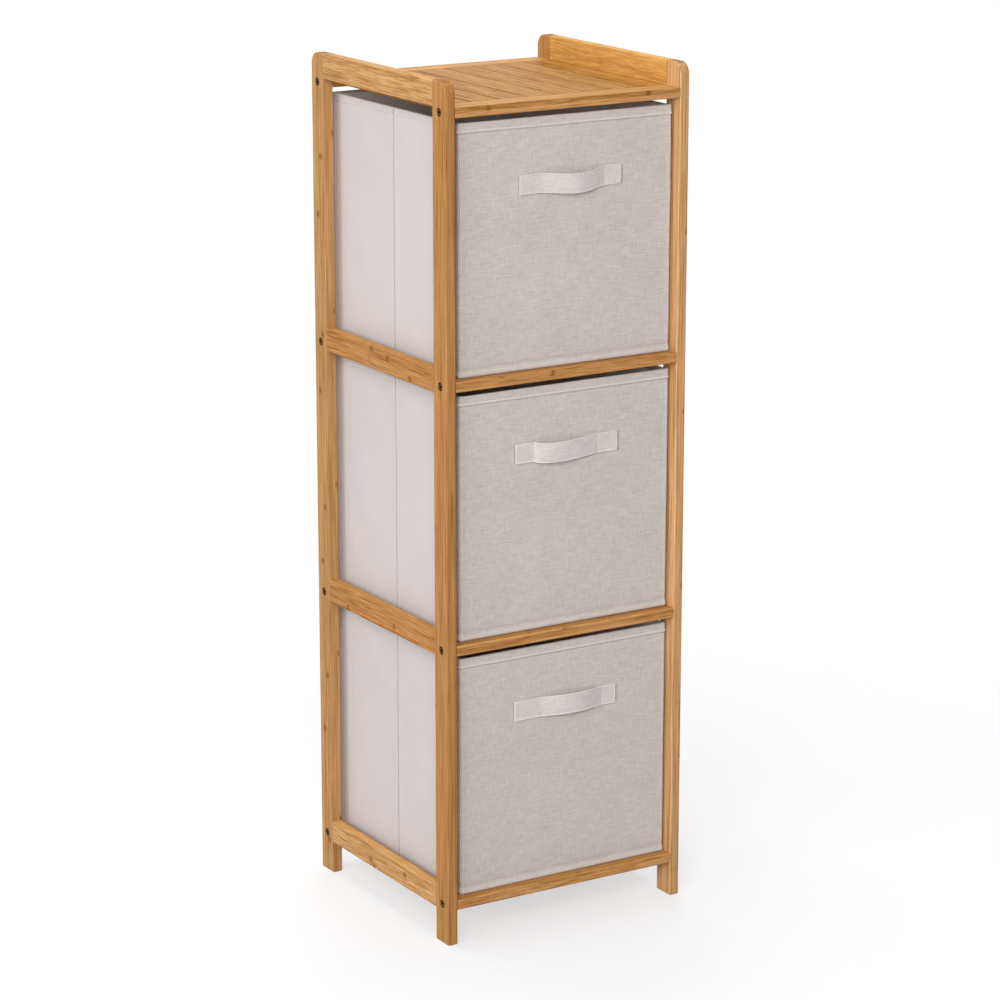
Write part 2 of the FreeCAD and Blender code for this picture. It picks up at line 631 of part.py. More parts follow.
def make_handle(name, floor):
    """A webbing strap, sewn down at both ends and bowed out between them."""
    middle = "Sizes.basket_shift"
    low = floor + " + Places.basket_height - Sizes.strap_drop - Sizes.strap_width / 2"
    outer_face = "Places.cloth_front - Sizes.strap_thickness"
    left_end = middle + " - Sizes.strap_span / 2 - Sizes.strap_tab"
    right_tab_start = middle + " + Sizes.strap_span / 2"
    thick = "Sizes.strap_thickness"
    left_tab = add_box(name + "LeftTab", left_end, outer_face, low, "Sizes.strap_tab", thick, "Sizes.strap_width")
    right_tab = add_box(name + "RightTab", right_tab_start, outer_face, low,
                        "Sizes.strap_tab", thick, "Sizes.strap_width")

    axis_y = "Places.cloth_front - Sizes.strap_finger_gap + Places.strap_arch_radius"
    inner = add_cylinder(name + "BowInside", "Z", middle, axis_y, low,
                         "2 * Places.strap_arch_radius", "Sizes.strap_width")
    outer = add_cylinder(name + "BowOutside", "Z", middle, axis_y, low,
                         "2 * (Places.strap_arch_radius + Sizes.strap_thickness)", "Sizes.strap_width")
    bow_reach = "Sizes.strap_finger_gap + 2 * Sizes.strap_thickness"
    span_with_tabs = "Sizes.strap_span + 2 * Sizes.strap_tab"
    front_room = add_box(name + "BowRoom", left_end, "Places.cloth_front - (%s)" % bow_reach, low,
                         span_with_tabs, bow_reach, "Sizes.strap_width")
    bow = doc.addObject("Part::Common", name + "Bow")
    bow.Base = cut_away(name + "BowRing", outer, inner)
    bow.Tool = front_room
    return fuse(name, [left_tab, right_tab, bow])


def make_base_board(name, floor):
    """A loose board on the floor cloth, inside the lining."""
    margin = "(Places.wall_thickness + Sizes.base_board_clearance)"
    x = "Places.basket_left + " + margin
    y = "Places.cloth_front + " + margin
    z = floor + " + Sizes.cloth_thickness + Sizes.rest_gap"
    length = "Places.basket_width - 2 * " + margin
    width = "Places.wall_depth - 2 * " + margin
    return add_box(name, x, y, z, length, width, "Sizes.base_board_thickness")


for number, basket in enumerate(BASKETS):
    title = basket.title() + "Basket"
    floor = "Sizes.first_shelf_level + %d * Sizes.shelf_pitch + Sizes.rest_gap" % number
    cloth = "Sizes.cloth_thickness"
    inner_left = "Places.basket_left + " + cloth
    inner_width = "Places.basket_width - 2 * " + cloth
    back_face = "Places.basket_back - " + cloth
    floor_front = "Places.cloth_front + " + cloth
    floor_run = "Places.wall_depth - 2 * " + cloth
    above_floor = cloth + " + Sizes.layer_gap"
    rim_low = "Places.basket_height - Sizes.rim_height"
    lining_height = "Places.basket_height - %s - Sizes.layer_gap" % cloth

    keep(basket + "_basket_front_cloth", make_front_cloth(title + "FrontCloth", floor))
    keep(basket + "_basket_side_cloths", make_side_cloths(title + "SideCloths", floor))
    back_cloth = add_box(title + "BackCloth", inner_left, back_face, floor, inner_width, cloth, "Places.basket_height")
    keep(basket + "_basket_back_cloth", back_cloth)
    floor_cloth = add_box(title + "FloorCloth", inner_left, floor_front, floor, inner_width, floor_run, cloth)
    keep(basket + "_basket_floor_cloth", floor_cloth)
    boards = wall_panels(title + "Boards", floor, "Places.board_inset", "Sizes.board_thickness",
                         above_floor, "Places.board_height", fold="Sizes.fold_gap")
    keep(basket + "_basket_stiffeners", boards)
    rim = wall_panels(title + "Rim", floor, "Places.board_inset", "Sizes.board_thickness",
                      rim_low, "Sizes.rim_height")
    keep(basket + "_basket_rim_tape", rim)
    lining = wall_panels(title + "Lining", floor, "Places.lining_inset", "Sizes.lining_thickness",
                         above_floor, lining_height)
    keep(basket + "_basket_lining", lining)
    keep(basket + "_basket_handle", make_handle(title + "Handle", floor))
    keep(basket + "_basket_base_board", make_base_board(title + "BaseBoard", floor))


# Check every object, then write one file per sub-part

doc.recompute()
for item in doc.Objects:
    if "Invalid" in item.State or "Error" in item.State:
        raise RuntimeError("%s failed: %s" % (item.Label, item.State))
for node in nodes:
    if node.Shape.isNull() or not node.Shape.isValid():
        raise RuntimeError("%s has no valid shape" % node.Label)

os.makedirs("parts", exist_ok=True)
for node in nodes:
    node.Shape.exportStep("parts/%s.step" % node.Label)
print("%d sub-parts, %d solids" % (len(nodes), sum(len(node.Shape.Solids) for node in nodes)))
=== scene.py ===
# %% [markdown]
# A slim bamboo stand with four slatted shelves and three folding fabric baskets. The stand and the boards
# inside the baskets come from the frame with their sizes fixed, so this lesson gives them their finish. The
# cloth of the baskets is modelled here: sheets are cut flat, folded into place and stitched.

import math

import bmesh
import bpy
from mathutils import Matrix, Vector, noise


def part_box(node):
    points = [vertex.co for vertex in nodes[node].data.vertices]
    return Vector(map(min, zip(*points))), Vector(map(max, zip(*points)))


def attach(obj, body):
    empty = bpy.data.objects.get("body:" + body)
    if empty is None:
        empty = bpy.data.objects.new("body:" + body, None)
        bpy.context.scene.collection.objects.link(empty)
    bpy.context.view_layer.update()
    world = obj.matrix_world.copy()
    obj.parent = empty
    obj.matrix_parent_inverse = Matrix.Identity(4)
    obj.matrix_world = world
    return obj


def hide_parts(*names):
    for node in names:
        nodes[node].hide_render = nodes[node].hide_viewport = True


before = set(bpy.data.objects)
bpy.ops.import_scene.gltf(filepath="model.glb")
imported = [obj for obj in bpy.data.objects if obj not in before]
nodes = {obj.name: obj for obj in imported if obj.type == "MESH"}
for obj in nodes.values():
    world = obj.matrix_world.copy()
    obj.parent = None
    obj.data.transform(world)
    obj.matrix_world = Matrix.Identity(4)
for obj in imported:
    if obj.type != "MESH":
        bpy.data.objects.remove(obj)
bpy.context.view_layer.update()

# %% [markdown]
# The camera stands to the left of the stand and a little above it, far away with a long lens, so that the
# posts stay nearly parallel. A level camera with its lens shifted down would keep them exactly parallel, but
# a shifted lens pushes the object out of every other view, so this one is tipped down instead.

# %% Camera
CAMERA_PLACE = Vector((-2.0519, -3.3719, 1.5276))
CAMERA_TURN = math.radians(31.35)
CAMERA_DIP = math.radians(14.91)
CAMERA_LENS = 124.75

gaze = Vector((math.sin(CAMERA_TURN) * math.cos(CAMERA_DIP),
               math.cos(CAMERA_TURN) * math.cos(CAMERA_DIP),
               -math.sin(CAMERA_DIP)))
scene = bpy.context.scene
camera = bpy.data.objects.new("studio_camera", bpy.data.cameras.new("studio_camera"))
camera.data.lens = CAMERA_LENS
camera.location = CAMERA_PLACE
camera.rotation_euler = gaze.to_track_quat("-Z", "Y").to_euler()
scene.collection.objects.link(camera)
scene.camera = camera
scene.view_settings.view_transform = "Standard"
print("camera", tuple(round(value, 3) for value in camera.location))

# %% [markdown]
# Every finish below is a small graph of shader nodes. Wiring nodes one by one hides the idea, so a small
# class wraps an output socket and lets Python's own operators add the Math nodes: 1 - mask is then a formula
# and a node at once. Any other node comes from its add method.


# %% A socket that does arithmetic
class Signal:
    """One output socket of a node tree."""

    def __init__(self, tree, socket=None):
        self.tree = tree
        self.socket = socket

    def add(self, kind, sockets=None, output=0, **settings):
        """Adds a node: its settings, then the values or links of its sockets. Gives one of its outputs."""
        node = self.tree.nodes.new(kind)
        for setting, value in settings.items():
            setattr(node, setting, value)
        for key, value in (sockets or {}).items():
            if isinstance(value, Signal):
                self.tree.links.new(value.socket, node.inputs[key])
            else:
                node.inputs[key].default_value = value
        return Signal(self.tree, node.outputs[output] if len(node.outputs) else None)

    def math(self, operation, first, second=0.0):
        return self.add("ShaderNodeMath", {0: first, 1: second}, operation=operation)

    def __add__(self, other):
        return self.math("ADD", self, other)

    def __sub__(self, other):
        return self.math("SUBTRACT", self, other)

    def __rsub__(self, other):
        return self.math("SUBTRACT", other, self)

    def __mul__(self, other):
        return self.math("MULTIPLY", self, other)

    def __truediv__(self, other):
        return self.math("DIVIDE", self, other)

    __radd__ = __add__
    __rmul__ = __mul__

    def parts(self):
        """The X, Y and Z of a vector, or the red, green and blue of a colour."""
        split = self.add("ShaderNodeSeparateXYZ", {0: self})
        return [Signal(self.tree, socket) for socket in split.socket.node.outputs]

    def vector(self, x, y, z=0.0):
        return self.add("ShaderNodeCombineXYZ", {0: x, 1: y, 2: z})

    def rise(self, low, high):
        """0 below low, 1 above high, and a soft rise between."""
        return self.add("ShaderNodeMapRange", {0: self, 1: low, 2: high}, interpolation_type="SMOOTHSTEP")

    def mix(self, colour_at_0, colour_at_1, blend="MIX"):
        """A colour between two others, as far as this value says."""
        return self.add("ShaderNodeMix", {0: self, 6: colour_at_0, 7: colour_at_1}, output=2,
                        data_type="RGBA", blend_type=blend)

    def noise(self, scale, detail=2.0, roughness=0.5):
        """Cloudy noise from 0 to 1 over this vector."""
        return self.add("ShaderNodeTexNoise", {"Vector": self, "Scale": scale, "Detail": detail,
                                               "Roughness": roughness})


def seen(red, green, blue):
    """A colour as the eye sees it, from 0 to 255, as the linear colour that shaders use."""
    return tuple((level / 255 / 12.92 if level < 10 else ((level / 255 + 0.055) / 1.055) ** 2.4)
                 for level in (red, green, blue)) + (1.0,)


def shade(colour, times):
    """A colour made lighter or darker."""
    return tuple(min(1.0, channel * times) for channel in colour[:3]) + (1.0,)


print("a grey seen as 128 of 255 is", round(seen(128, 128, 128)[0], 3), "in a shader")

# %% [markdown]
# The light is that of a plain product picture: a white room with large soft boxes. One stands low beside the
# camera, so it reaches under the rails and the camera sees few shadows. Another lights the left side, one
# hangs above, and a weak one behind keeps the back from going dull. The world lights the object a little from
# everywhere, and only what the camera sees of it is pure white. The floor is nearly white under the stand, so
# that it keeps a light shadow, and fades into the white further out.

# %% Studio light and floor
WORLD_LIGHT = 0.34
FLOOR_GREY = (0.50, 0.50, 0.50, 1)
FLOOR_SEEN = (0.93, 0.93, 0.93, 1)
FLOOR_HALF = 16.0
WHITE_NEAR = 0.6
WHITE_STARTS = 0.3
WHITE_ALONE = 1.1
LAMP_DISTANCE = 6.0
LAMP_SIZE = 2.8
LIT_PLACE = Vector((0, 0, 0.5))


def background_seen(start):
    """1 where the camera, a reflection or a glass shows the background, 0 where it only lights the object."""
    path = start.add("ShaderNodeLightPath").socket.node.outputs
    kinds = ("Is Camera Ray", "Is Glossy Ray", "Is Transmission Ray")
    camera, glossy, through = [Signal(start.tree, path[kind]) for kind in kinds]
    return start.math("MAXIMUM", start.math("MAXIMUM", camera, glossy), through)


def light_world():
    world = bpy.data.worlds.new("white_room")
    world.use_nodes = True
    scene.world = world
    start = Signal(world.node_tree)
    strength = background_seen(start) * (1 - WORLD_LIGHT) + WORLD_LIGHT
    background = world.node_tree.nodes["Background"]
    background.inputs["Color"].default_value = (1, 1, 1, 1)
    world.node_tree.links.new(strength.socket, background.inputs["Strength"])


def soft_box(name, turn, rise, level):
    """A lamp so many degrees to the left of the front and up. At level 1 a colour shows as written."""
    turn, rise = math.radians(turn), math.radians(rise)
    towards = Vector((-math.sin(turn) * math.cos(rise), -math.cos(turn) * math.cos(rise), math.sin(rise)))
    lamp = bpy.data.lights.new(name, "AREA")
    lamp.shape = "SQUARE"
    lamp.size = LAMP_SIZE
    lamp.energy = level * math.pi ** 2 * LAMP_DISTANCE ** 2
    box = bpy.data.objects.new(name, lamp)
    box.location = LIT_PLACE + towards * LAMP_DISTANCE
    box.rotation_euler = (-towards).to_track_quat("-Z", "Y").to_euler()
    scene.collection.objects.link(box)
    print(name, "of", round(lamp.energy), "W")


def lay_floor():
    bm = bmesh.new()
    bmesh.ops.create_grid(bm, x_segments=8, y_segments=8, size=FLOOR_HALF)
    mesh = bpy.data.meshes.new("floor")
    bm.to_mesh(mesh)
    bm.free()
    floor = bpy.data.objects.new("floor", mesh)
    scene.collection.objects.link(floor)

    material = bpy.data.materials.new("white_floor")
    material.use_nodes = True
    tree = material.node_tree
    start = Signal(tree)
    here = start.add("ShaderNodeTexCoord", output="Object")
    away = start.add("ShaderNodeVectorMath", {0: here}, output="Value", operation="LENGTH")
    looked_at = background_seen(start)
    paint = looked_at.mix(FLOOR_GREY, FLOOR_SEEN)
    matt = start.add("ShaderNodeBsdfDiffuse", {"Color": paint})
    white = start.add("ShaderNodeEmission", {"Color": (1, 1, 1, 1), "Strength": 1.0})
    white_share = looked_at * (away.rise(WHITE_STARTS, WHITE_ALONE) * (1 - WHITE_NEAR) + WHITE_NEAR)
    blend = start.add("ShaderNodeMixShader", {0: white_share, 1: matt, 2: white})
    tree.links.new(blend.socket, tree.nodes["Material Output"].inputs["Surface"])
    mesh.materials.append(material)


light_world()
soft_box("camera_soft_box", 38, 24, 0.68)
soft_box("left_soft_box", 75, 14, 0.30)
soft_box("top_soft_box", 180, 78, 0.45)
soft_box("back_soft_box", 215, 14, 0.24)
lay_floor()
print("a floor of", 2 * FLOOR_HALF, "m")

# %% [markdown]
# Bamboo planks are glued up from narrow strips of cane. Each strip has its own tone, fibres that sway a
# little run along it, and every hand's breadth or two it shows a node, the dark mark of a ring on the cane.
# The pattern is worked out from the place on the object: whole numbers across the plank pick the strip, and
# the place along the grain gives the fibres and nodes. So one formula serves planks that run up, across or to
# the back. The planks came from paler and deeper batches, and the rails show more figure than the posts; the
# right top rail's paler batch is partly painted light. The posts' front and back faces are painted darker, a
# painted shade, and the rails' upper faces paler, a painted highlight of the light from above. The slats are
# painted darker along their gaps, a painted shade.

# %% Bamboo
STRIP_WIDTH = 0.0072
STRIP_THICKNESS = 0.0064
NODE_SPACING = 0.21
STREAK_RATE = 600
FIBRE_RATE = 1500
BATCHES = {
    "golden": (seen(146, 93, 42), seen(198, 146, 89)),
    "honey": (seen(152, 99, 47), seen(207, 155, 96)),
    "tan": (seen(153, 105, 56), seen(207, 163, 110)),
    "pale": (seen(162, 111, 60), seen(219, 173, 117)),
    "cream": (seen(170, 119, 70), seen(229, 184, 132)),
    "amber_and_painted_light": (seen(186, 130, 65), seen(227, 175, 96)),
    "slat": (seen(144, 92, 33), seen(197, 144, 71)),
}
# The right top rail's amber batch is partly its own tone and partly painted light: paler for light its inner
# face doesn't get.
SORTED = {
    "golden": ("front_left_post", "left_upper_rail", "right_upper_rail", "upper_shelf_front_rail"),
    "tan": ("back_left_post",),
    "pale": ("left_top_rail", "left_bottom_rail"),
    "cream": ("front_right_post",),
    "amber_and_painted_light": ("right_top_rail",),
}
FIGURE = {
    "X": dict(strips=0.6, clouds=0.9, streaks=3.0, reach=26, sway=0.005, nodes=0.42),
    "Y": dict(strips=0.35, clouds=0.7, streaks=3.0, reach=26, sway=0.006, nodes=0.5),
    "Z": dict(strips=0.2, clouds=0.6, streaks=2.6, reach=10, sway=0.002, nodes=0.62),
}
SLAT_PITCH = 0.037
BAMBOO_ROSE = seen(202, 146, 102)
# The dark of the nodes, also used as painted shade along the slats' gaps.
BAMBOO_NODE_AND_GAP_SHADE = seen(124, 68, 24)
# Darker end grain, also used as painted shade on the posts' front and back faces.
BAMBOO_END_GRAIN_AND_SHADE = seen(146, 98, 54)
# A painted highlight for the rails' upward faces.
BAMBOO_PAINTED_TOP_LIGHT = seen(230, 176, 96)


def new_finish(name, coordinates="Object"):
    """A material with its shader, and the place on the piece as a signal."""
    material = bpy.data.materials.new(name)
    material.use_nodes = True
    shader = material.node_tree.nodes["Principled BSDF"]
    here = Signal(material.node_tree).add("ShaderNodeTexCoord", output=coordinates)
    return material, shader, here


def feed(shader, **signals):
    """Links signals to the shader's sockets; a name's underscores stand for spaces."""
    for name, signal in signals.items():
        signal.tree.links.new(signal.socket, shader.inputs[name.replace("_", " ").title()])


def bump(height, depth, strength=1.0):
    """A Normal from a height of 0 to 1 that stands for so many metres."""
    return height.add("ShaderNodeBump", {"Height": height, "Distance": depth, "Strength": strength})


def bamboo(name, grain, seed, batch, slats=False):
    figure = FIGURE[grain]
    material, shader, here = new_finish(name)
    x, y, z = here.parts()
    along, across, through = {"X": (x, y, z), "Y": (y, x, z), "Z": (z, y, x)}[grain]

    sway = here.vector(across * 24, through * 24, along * 9).noise(1.0, 2.0) - 0.5
    bent, deep = across + sway * figure["sway"], through + sway * figure["sway"]
    row = here.math("FLOOR", bent / STRIP_WIDTH + seed)
    layer = here.math("FLOOR", deep / STRIP_THICKNESS + seed * 0.37)
    strip = here.add("ShaderNodeTexWhiteNoise", {"Vector": here.vector(row, layer, seed)}, output="Color")
    tone, node_place, character = strip.parts()

    cloud = here.vector(bent * 90, deep * 90, along * 6 + node_place * 9).noise(1.0, 2.0)
    streak_place = along * figure["reach"] + node_place * 5
    streak = here.vector(bent * STREAK_RATE, deep * STREAK_RATE, streak_place).noise(1.0, 3.0, 0.65)
    fibre = here.vector(bent * FIBRE_RATE, deep * FIBRE_RATE, along * 36).noise(1.0, 2.0, 0.6)
    blush = here.vector(bent * 70, deep * 70, along * 8 + character * 7).noise(1.0, 2.0).rise(0.48, 0.72)

    ragged = here.vector(bent * 330, deep * 330, along * 60).noise(1.0, 2.0) - 0.5
    lap = here.math("FRACT", along / NODE_SPACING + node_place * 7)
    off_node = here.math("ABSOLUTE", lap - 0.5) * NODE_SPACING + ragged * 0.008
    core = (1 - off_node.rise(0.001, 0.0055)) * (streak * 0.9 + 0.3)
    tail = (1 - off_node.rise(0.003, 0.022)) * streak.rise(0.5, 0.68)
    mark = (core + tail * 0.4) * character.rise(figure["nodes"], figure["nodes"] + 0.3)

    light = (tone - 0.5) * figure["strips"] + (cloud - 0.5) * figure["clouds"] + 0.5
    light = light + (streak - 0.5) * figure["streaks"] + (fibre - 0.5) * 0.8
    wood = light.mix(*batch)
    wood = (blush * 0.35).mix(wood, BAMBOO_ROSE)
    wood = (mark * 0.8).mix(wood, BAMBOO_NODE_AND_GAP_SHADE)
    if slats:
        # The slats are painted darker along their gaps: painted shade.
        from_gap = here.math("ABSOLUTE", here.math("FRACT", x / SLAT_PITCH + 0.5) - 0.5) * SLAT_PITCH
        wood = ((1 - from_gap.rise(0.0012, 0.0026)) * 0.3).mix(wood, BAMBOO_NODE_AND_GAP_SHADE)

    facing = here.add("ShaderNodeTexCoord", output="Normal").parts()
    # The posts' front and back faces are painted darker: painted shade.
    if grain == "Z":
        wood = (here.math("ABSOLUTE", facing[1]).rise(0.6, 0.9) * 0.2).mix(wood, BAMBOO_END_GRAIN_AND_SHADE)
    # Upward faces of the rails are painted paler: a painted highlight of the light from above.
    elif not slats:
        wood = (facing[2].rise(0.5, 0.9) * 0.25).mix(wood, BAMBOO_PAINTED_TOP_LIGHT)
    end_grain = here.math("ABSOLUTE", facing["XYZ".index(grain)]).rise(0.82, 0.96)
    bundles = here.vector(across * FIBRE_RATE, through * FIBRE_RATE).noise(1.0, 1.0).rise(0.45, 0.62)
    wood = (end_grain * (0.45 + bundles * 0.4)).mix(wood, BAMBOO_END_GRAIN_AND_SHADE)

    feed(shader, base_color=wood, roughness=0.58 + fibre * 0.16 + end_grain * 0.2,
         normal=bump(fibre + streak * 0.5 - mark * 0.3, 0.00012, 0.5))
    shader.inputs["Specular IOR Level"].default_value = 0.06
    return material


GRAIN_SEEDS = {"X": 3.0, "Y": 11.0, "Z": 23.0}
SLATS = bamboo("bamboo_slats", "Y", 17.0, BATCHES["slat"], slats=True)


def plank_grain(node):
    """The way a plank's grain runs: posts up, shelf rails left to right, side rails front to back."""
    if node.endswith("post"):
        return "Z"
    return "X" if node.endswith(("front_rail", "back_rail")) else "Y"


planks = [node for node in nodes if node.endswith(("_post", "_rail"))]
kinds = {}
for node in planks:
    grain = plank_grain(node)
    batch = next((batch for batch, members in SORTED.items() if node in members), "honey")
    if (grain, batch) not in kinds:
        name = "bamboo_%s_%s" % (grain.lower(), batch)
        kinds[grain, batch] = bamboo(name, grain, GRAIN_SEEDS[grain], BATCHES[batch])
    nodes[node].material_slots[0].material = kinds[grain, batch]
for node in nodes:
    if node.endswith("_slats"):
        nodes[node].material_slots[0].material = SLATS
print(len(planks), "planks in", len(kinds), "kinds of bamboo")

# %% [markdown]
# The fittings are small but they show: the bolt heads are brass with a paler middle round the socket, and the
# dark ring outside that middle is painted shade of the recess they sit in. The nuts, dowels and the card
# inside the baskets hide, and get their plain finish all the same, because someone may take the stand apart.

# %% Fittings and hidden pieces
def cloudy(name, dark, pale, scale, roughness, metallic=0.0, stretch=(1, 1, 1)):
    """A finish whose colour wanders between two tones."""
    material, shader, here = new_finish(name)
    x, y, z = here.parts()
    cloud = here.vector(x * stretch[0], y * stretch[1], z * stretch[2]).noise(scale, 4.0, 0.6)
    feed(shader, base_color=cloud.rise(0.3, 0.7).mix(dark, pale), roughness=roughness + cloud * 0.2,
         normal=bump(cloud, 0.0001, 0.4))
    shader.inputs["Metallic"].default_value = metallic
    return material


BOLT_SETBACK = 0.1385
LOWEST_BOLT = 0.048
TIER = 0.306
BOLT_FACE = 0.1594


def antique_brass():
    """Dark outside a paler middle round the socket: painted shade of the recess. The way out from a head's
    middle comes from its place.
    """
    material, shader, here = new_finish("antique_brass")
    x, y, z = here.parts()
    beside = here.math("ABSOLUTE", y) - BOLT_SETBACK
    above = (here.math("FRACT", (z - LOWEST_BOLT) / TIER + 0.5) - 0.5) * TIER
    out = here.add("ShaderNodeVectorMath", {0: here.vector(beside, above)}, output="Value",
                   operation="LENGTH")
    cloud = here.noise(900, 4.0, 0.6)
    on_face = here.math("ABSOLUTE", x).rise(BOLT_FACE - 0.0008, BOLT_FACE - 0.0001)
    # Outside the pale middle the head is painted dark: painted shade of the recess round it.
    pale_middle = (1 - out.rise(0.0023, 0.0031)) * on_face * (cloud * 0.5 + 0.6)
    feed(shader, base_color=pale_middle.mix(seen(40, 24, 11), seen(160, 114, 58)), roughness=0.34 + cloud * 0.2,
         normal=bump(cloud, 0.0001, 0.4))
    shader.inputs["Metallic"].default_value = 1.0
    return material


FITTING_FINISHES = {
    "connector_bolts": antique_brass(),
    "barrel_nuts": cloudy("zinc_steel", seen(150, 150, 146), seen(196, 196, 190), 700, 0.28, metallic=1.0),
    "dowels": cloudy("beech_dowel", seen(196, 158, 112), seen(222, 190, 146), 300, 0.6, stretch=(1, 0.1, 1)),
    "stiffeners": cloudy("grey_card", seen(140, 122, 98), seen(172, 152, 124), 260, 0.8),
    "rim_tape": cloudy("rim_card", seen(150, 140, 128), seen(186, 176, 166), 260, 0.8),
}
for ending, finish in FITTING_FINISHES.items():
    fitted = [node for node in nodes if node.endswith(ending)]
    for node in fitted:
        nodes[node].material_slots[0].material = finish
    print(len(fitted), ending, "in", finish.name)

# %% [markdown]
# The fronts and handles are linen in a plain weave. Linen yarn is uneven, so each thread has its own tone
# that wanders along it, and here and there a thick place, a slub, shows as a pale dash. The weave follows
# the cloth, so it reads a UV map that holds the flat cut in metres. Along a hem the fold gets a pale line of
# painted highlight, and the groove beside it a dark line of painted shade. The handles' long edges get a
# painted highlight, and their cut ends painted shade.

# %% Linen
THREAD_PITCH = 0.00085
TOP_HEM = 0.0114
BOTTOM_HEM = 0.0098


def linen(name, colour, contrast, slubs, hems=(), edge=None, painted_shade_ends=False):
    """Woven cloth. A hem gives the places of its groove and its fold, painted as shade and highlight, and how
    wide and pale the fold's highlight is.
    """
    material, shader, cut = new_finish(name, "UV")
    u, v, _ = cut.parts()
    weft = cut.vector(u * 60, v / THREAD_PITCH, 1.0).noise(1.0, 2.0, 0.6)
    warp = cut.vector(u / THREAD_PITCH, v * 60, 7.0).noise(1.0, 2.0, 0.6)
    weft_band = cut.vector(u * 55, v * 380, 2.0).noise(1.0, 3.0, 0.65)
    warp_band = cut.vector(u * 380, v * 75, 9.0).noise(1.0, 3.0, 0.65)
    slub = cut.vector(u * 42, v * 620, 3.0).noise(1.0, 1.0).rise(0.64, 0.78)
    dark_slub = cut.vector(u * 55, v * 560, 13.0).noise(1.0, 1.0).rise(0.64, 0.8)
    cloud = cut.vector(u * 16, v * 16, 5.0).noise(1.0, 3.0)
    tone = (weft - 0.5) * 1.1 + (warp - 0.5) * 0.9 + (weft_band - 0.5) * 0.9 + (warp_band - 0.5) * 0.6
    tone = tone + (slub - dark_slub) * slubs + (cloud - 0.5) * 0.3
    yarn = (tone * contrast + 0.5).mix(shade(colour, 0.7), shade(colour, 1.3))
    # Each hem gets a painted highlight along its fold and painted shade in its groove.
    for groove_place, fold_place, fold_width, highlight_share in hems:
        painted_fold = 1 - cut.math("ABSOLUTE", v - fold_place).rise(fold_width * 0.3, fold_width)
        groove = 1 - cut.math("ABSOLUTE", v - groove_place).rise(0.0004, 0.0016)
        yarn = (painted_fold * highlight_share).mix(yarn, shade(colour, 1.3))
        yarn = (groove * 0.28).mix(yarn, shade(colour, 0.6))
    # A painted highlight along both long edges of the strap.
    if edge:
        yarn = (cut.math("ABSOLUTE", v).rise(edge, edge + 0.0006) * 0.6).mix(yarn, shade(colour, 1.3))
    # The strap's ends, where its rim faces sideways, get painted shade.
    if painted_shade_ends:
        sideways = cut.add("ShaderNodeTexCoord", output="Normal").parts()[0]
        yarn = (cut.math("ABSOLUTE", sideways).rise(0.3, 0.6) * 0.8).mix(yarn, shade(colour, 0.4))

    half_turn = math.pi / THREAD_PITCH
    over = cut.math("SINE", u * half_turn) * cut.math("SINE", v * half_turn)
    height = over * 0.25 + weft * 0.45 + warp * 0.3 + slub * 0.4
    feed(shader, base_color=yarn, roughness=0.86 + weft * 0.1, normal=bump(height, 0.00022, 0.6))
    shader.inputs["Sheen Weight"].default_value = 0.08
    shader.inputs["Specular IOR Level"].default_value = 0.25
    return material


front_low, front_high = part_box("top_basket_front_cloth")
top_groove = front_high.z - front_low.z - TOP_HEM
# Top hem and rolled lower edge: places of the painted groove shade and of the painted fold highlight.
FRONT_HEMS = ((top_groove - 0.0002, top_groove + 0.002, 0.0018, 0.55),
              (BOTTOM_HEM + 0.0006, 0.0050, 0.0034, 0.35))
FRONT_LINEN = linen("linen_front", seen(196, 188, 184), 0.7, 0.3, hems=FRONT_HEMS)
# The strap's linen is paler than the front's, partly painted light on the part that stands off; its edges get
# a painted highlight.
STRAP_LINEN = linen("linen_strap", seen(207, 199, 196), 0.55, 0.25, edge=0.0102)
# The rim of the strap, a little darker, with painted shade on its ends.
STRAP_EDGE = linen("linen_strap_edge", seen(196, 187, 182), 0.5, 0.2, painted_shade_ends=True)
print("linen with", round(0.001 / THREAD_PITCH, 2), "threads to the millimetre")

# %% [markdown]
# The sides, back and lining are a felted cloth that isn't woven: fibres pressed together with hot points.
# From a step away it is smooth, and close up it shows the rows of points and a few stray fibres. The fold
# line of the sides is painted darker, a painted shade of the crease. Sewing thread is a twist of two yarns.

# %% Felted cloth and thread
POINT_PITCH = 0.0016


def felted(name, colour, coordinates="UV", painted_fold=False):
    material, shader, here = new_finish(name, coordinates)
    u, v, w = here.parts()
    turn = 2 * math.pi / POINT_PITCH
    points = (here.math("SINE", (u + w) * turn) * here.math("SINE", (v + w) * turn)).rise(0.35, 0.9)
    stray = here.vector(u * 260, v * 1500, w * 260).noise(1.0, 3.0, 0.65)
    cloud = here.vector(u * 22, v * 22, w * 22).noise(1.0, 3.0)
    tone = 0.5 + (stray - 0.5) * 0.3 + (cloud - 0.5) * 0.2 - points * 0.03
    cloth = tone.mix(shade(colour, 0.75), shade(colour, 1.25))
    # The fold line is painted darker: painted shade of the crease.
    if painted_fold:
        painted_crease_shade = 1 - here.math("ABSOLUTE", u).rise(0.0005, 0.0015)
        cloth = (painted_crease_shade * (0.4 + cloud * 0.7)).mix(cloth, shade(colour, 0.45))
    feed(shader, base_color=cloth, roughness=0.88 + stray * 0.08,
         normal=bump(stray * 0.6 - points * 0.7, 0.0001, 0.5))
    shader.inputs["Specular IOR Level"].default_value = 0.25
    shader.inputs["Sheen Weight"].default_value = 0.05
    return material


COVER_CLOTH = felted("felted_cover", seen(207, 200, 199))
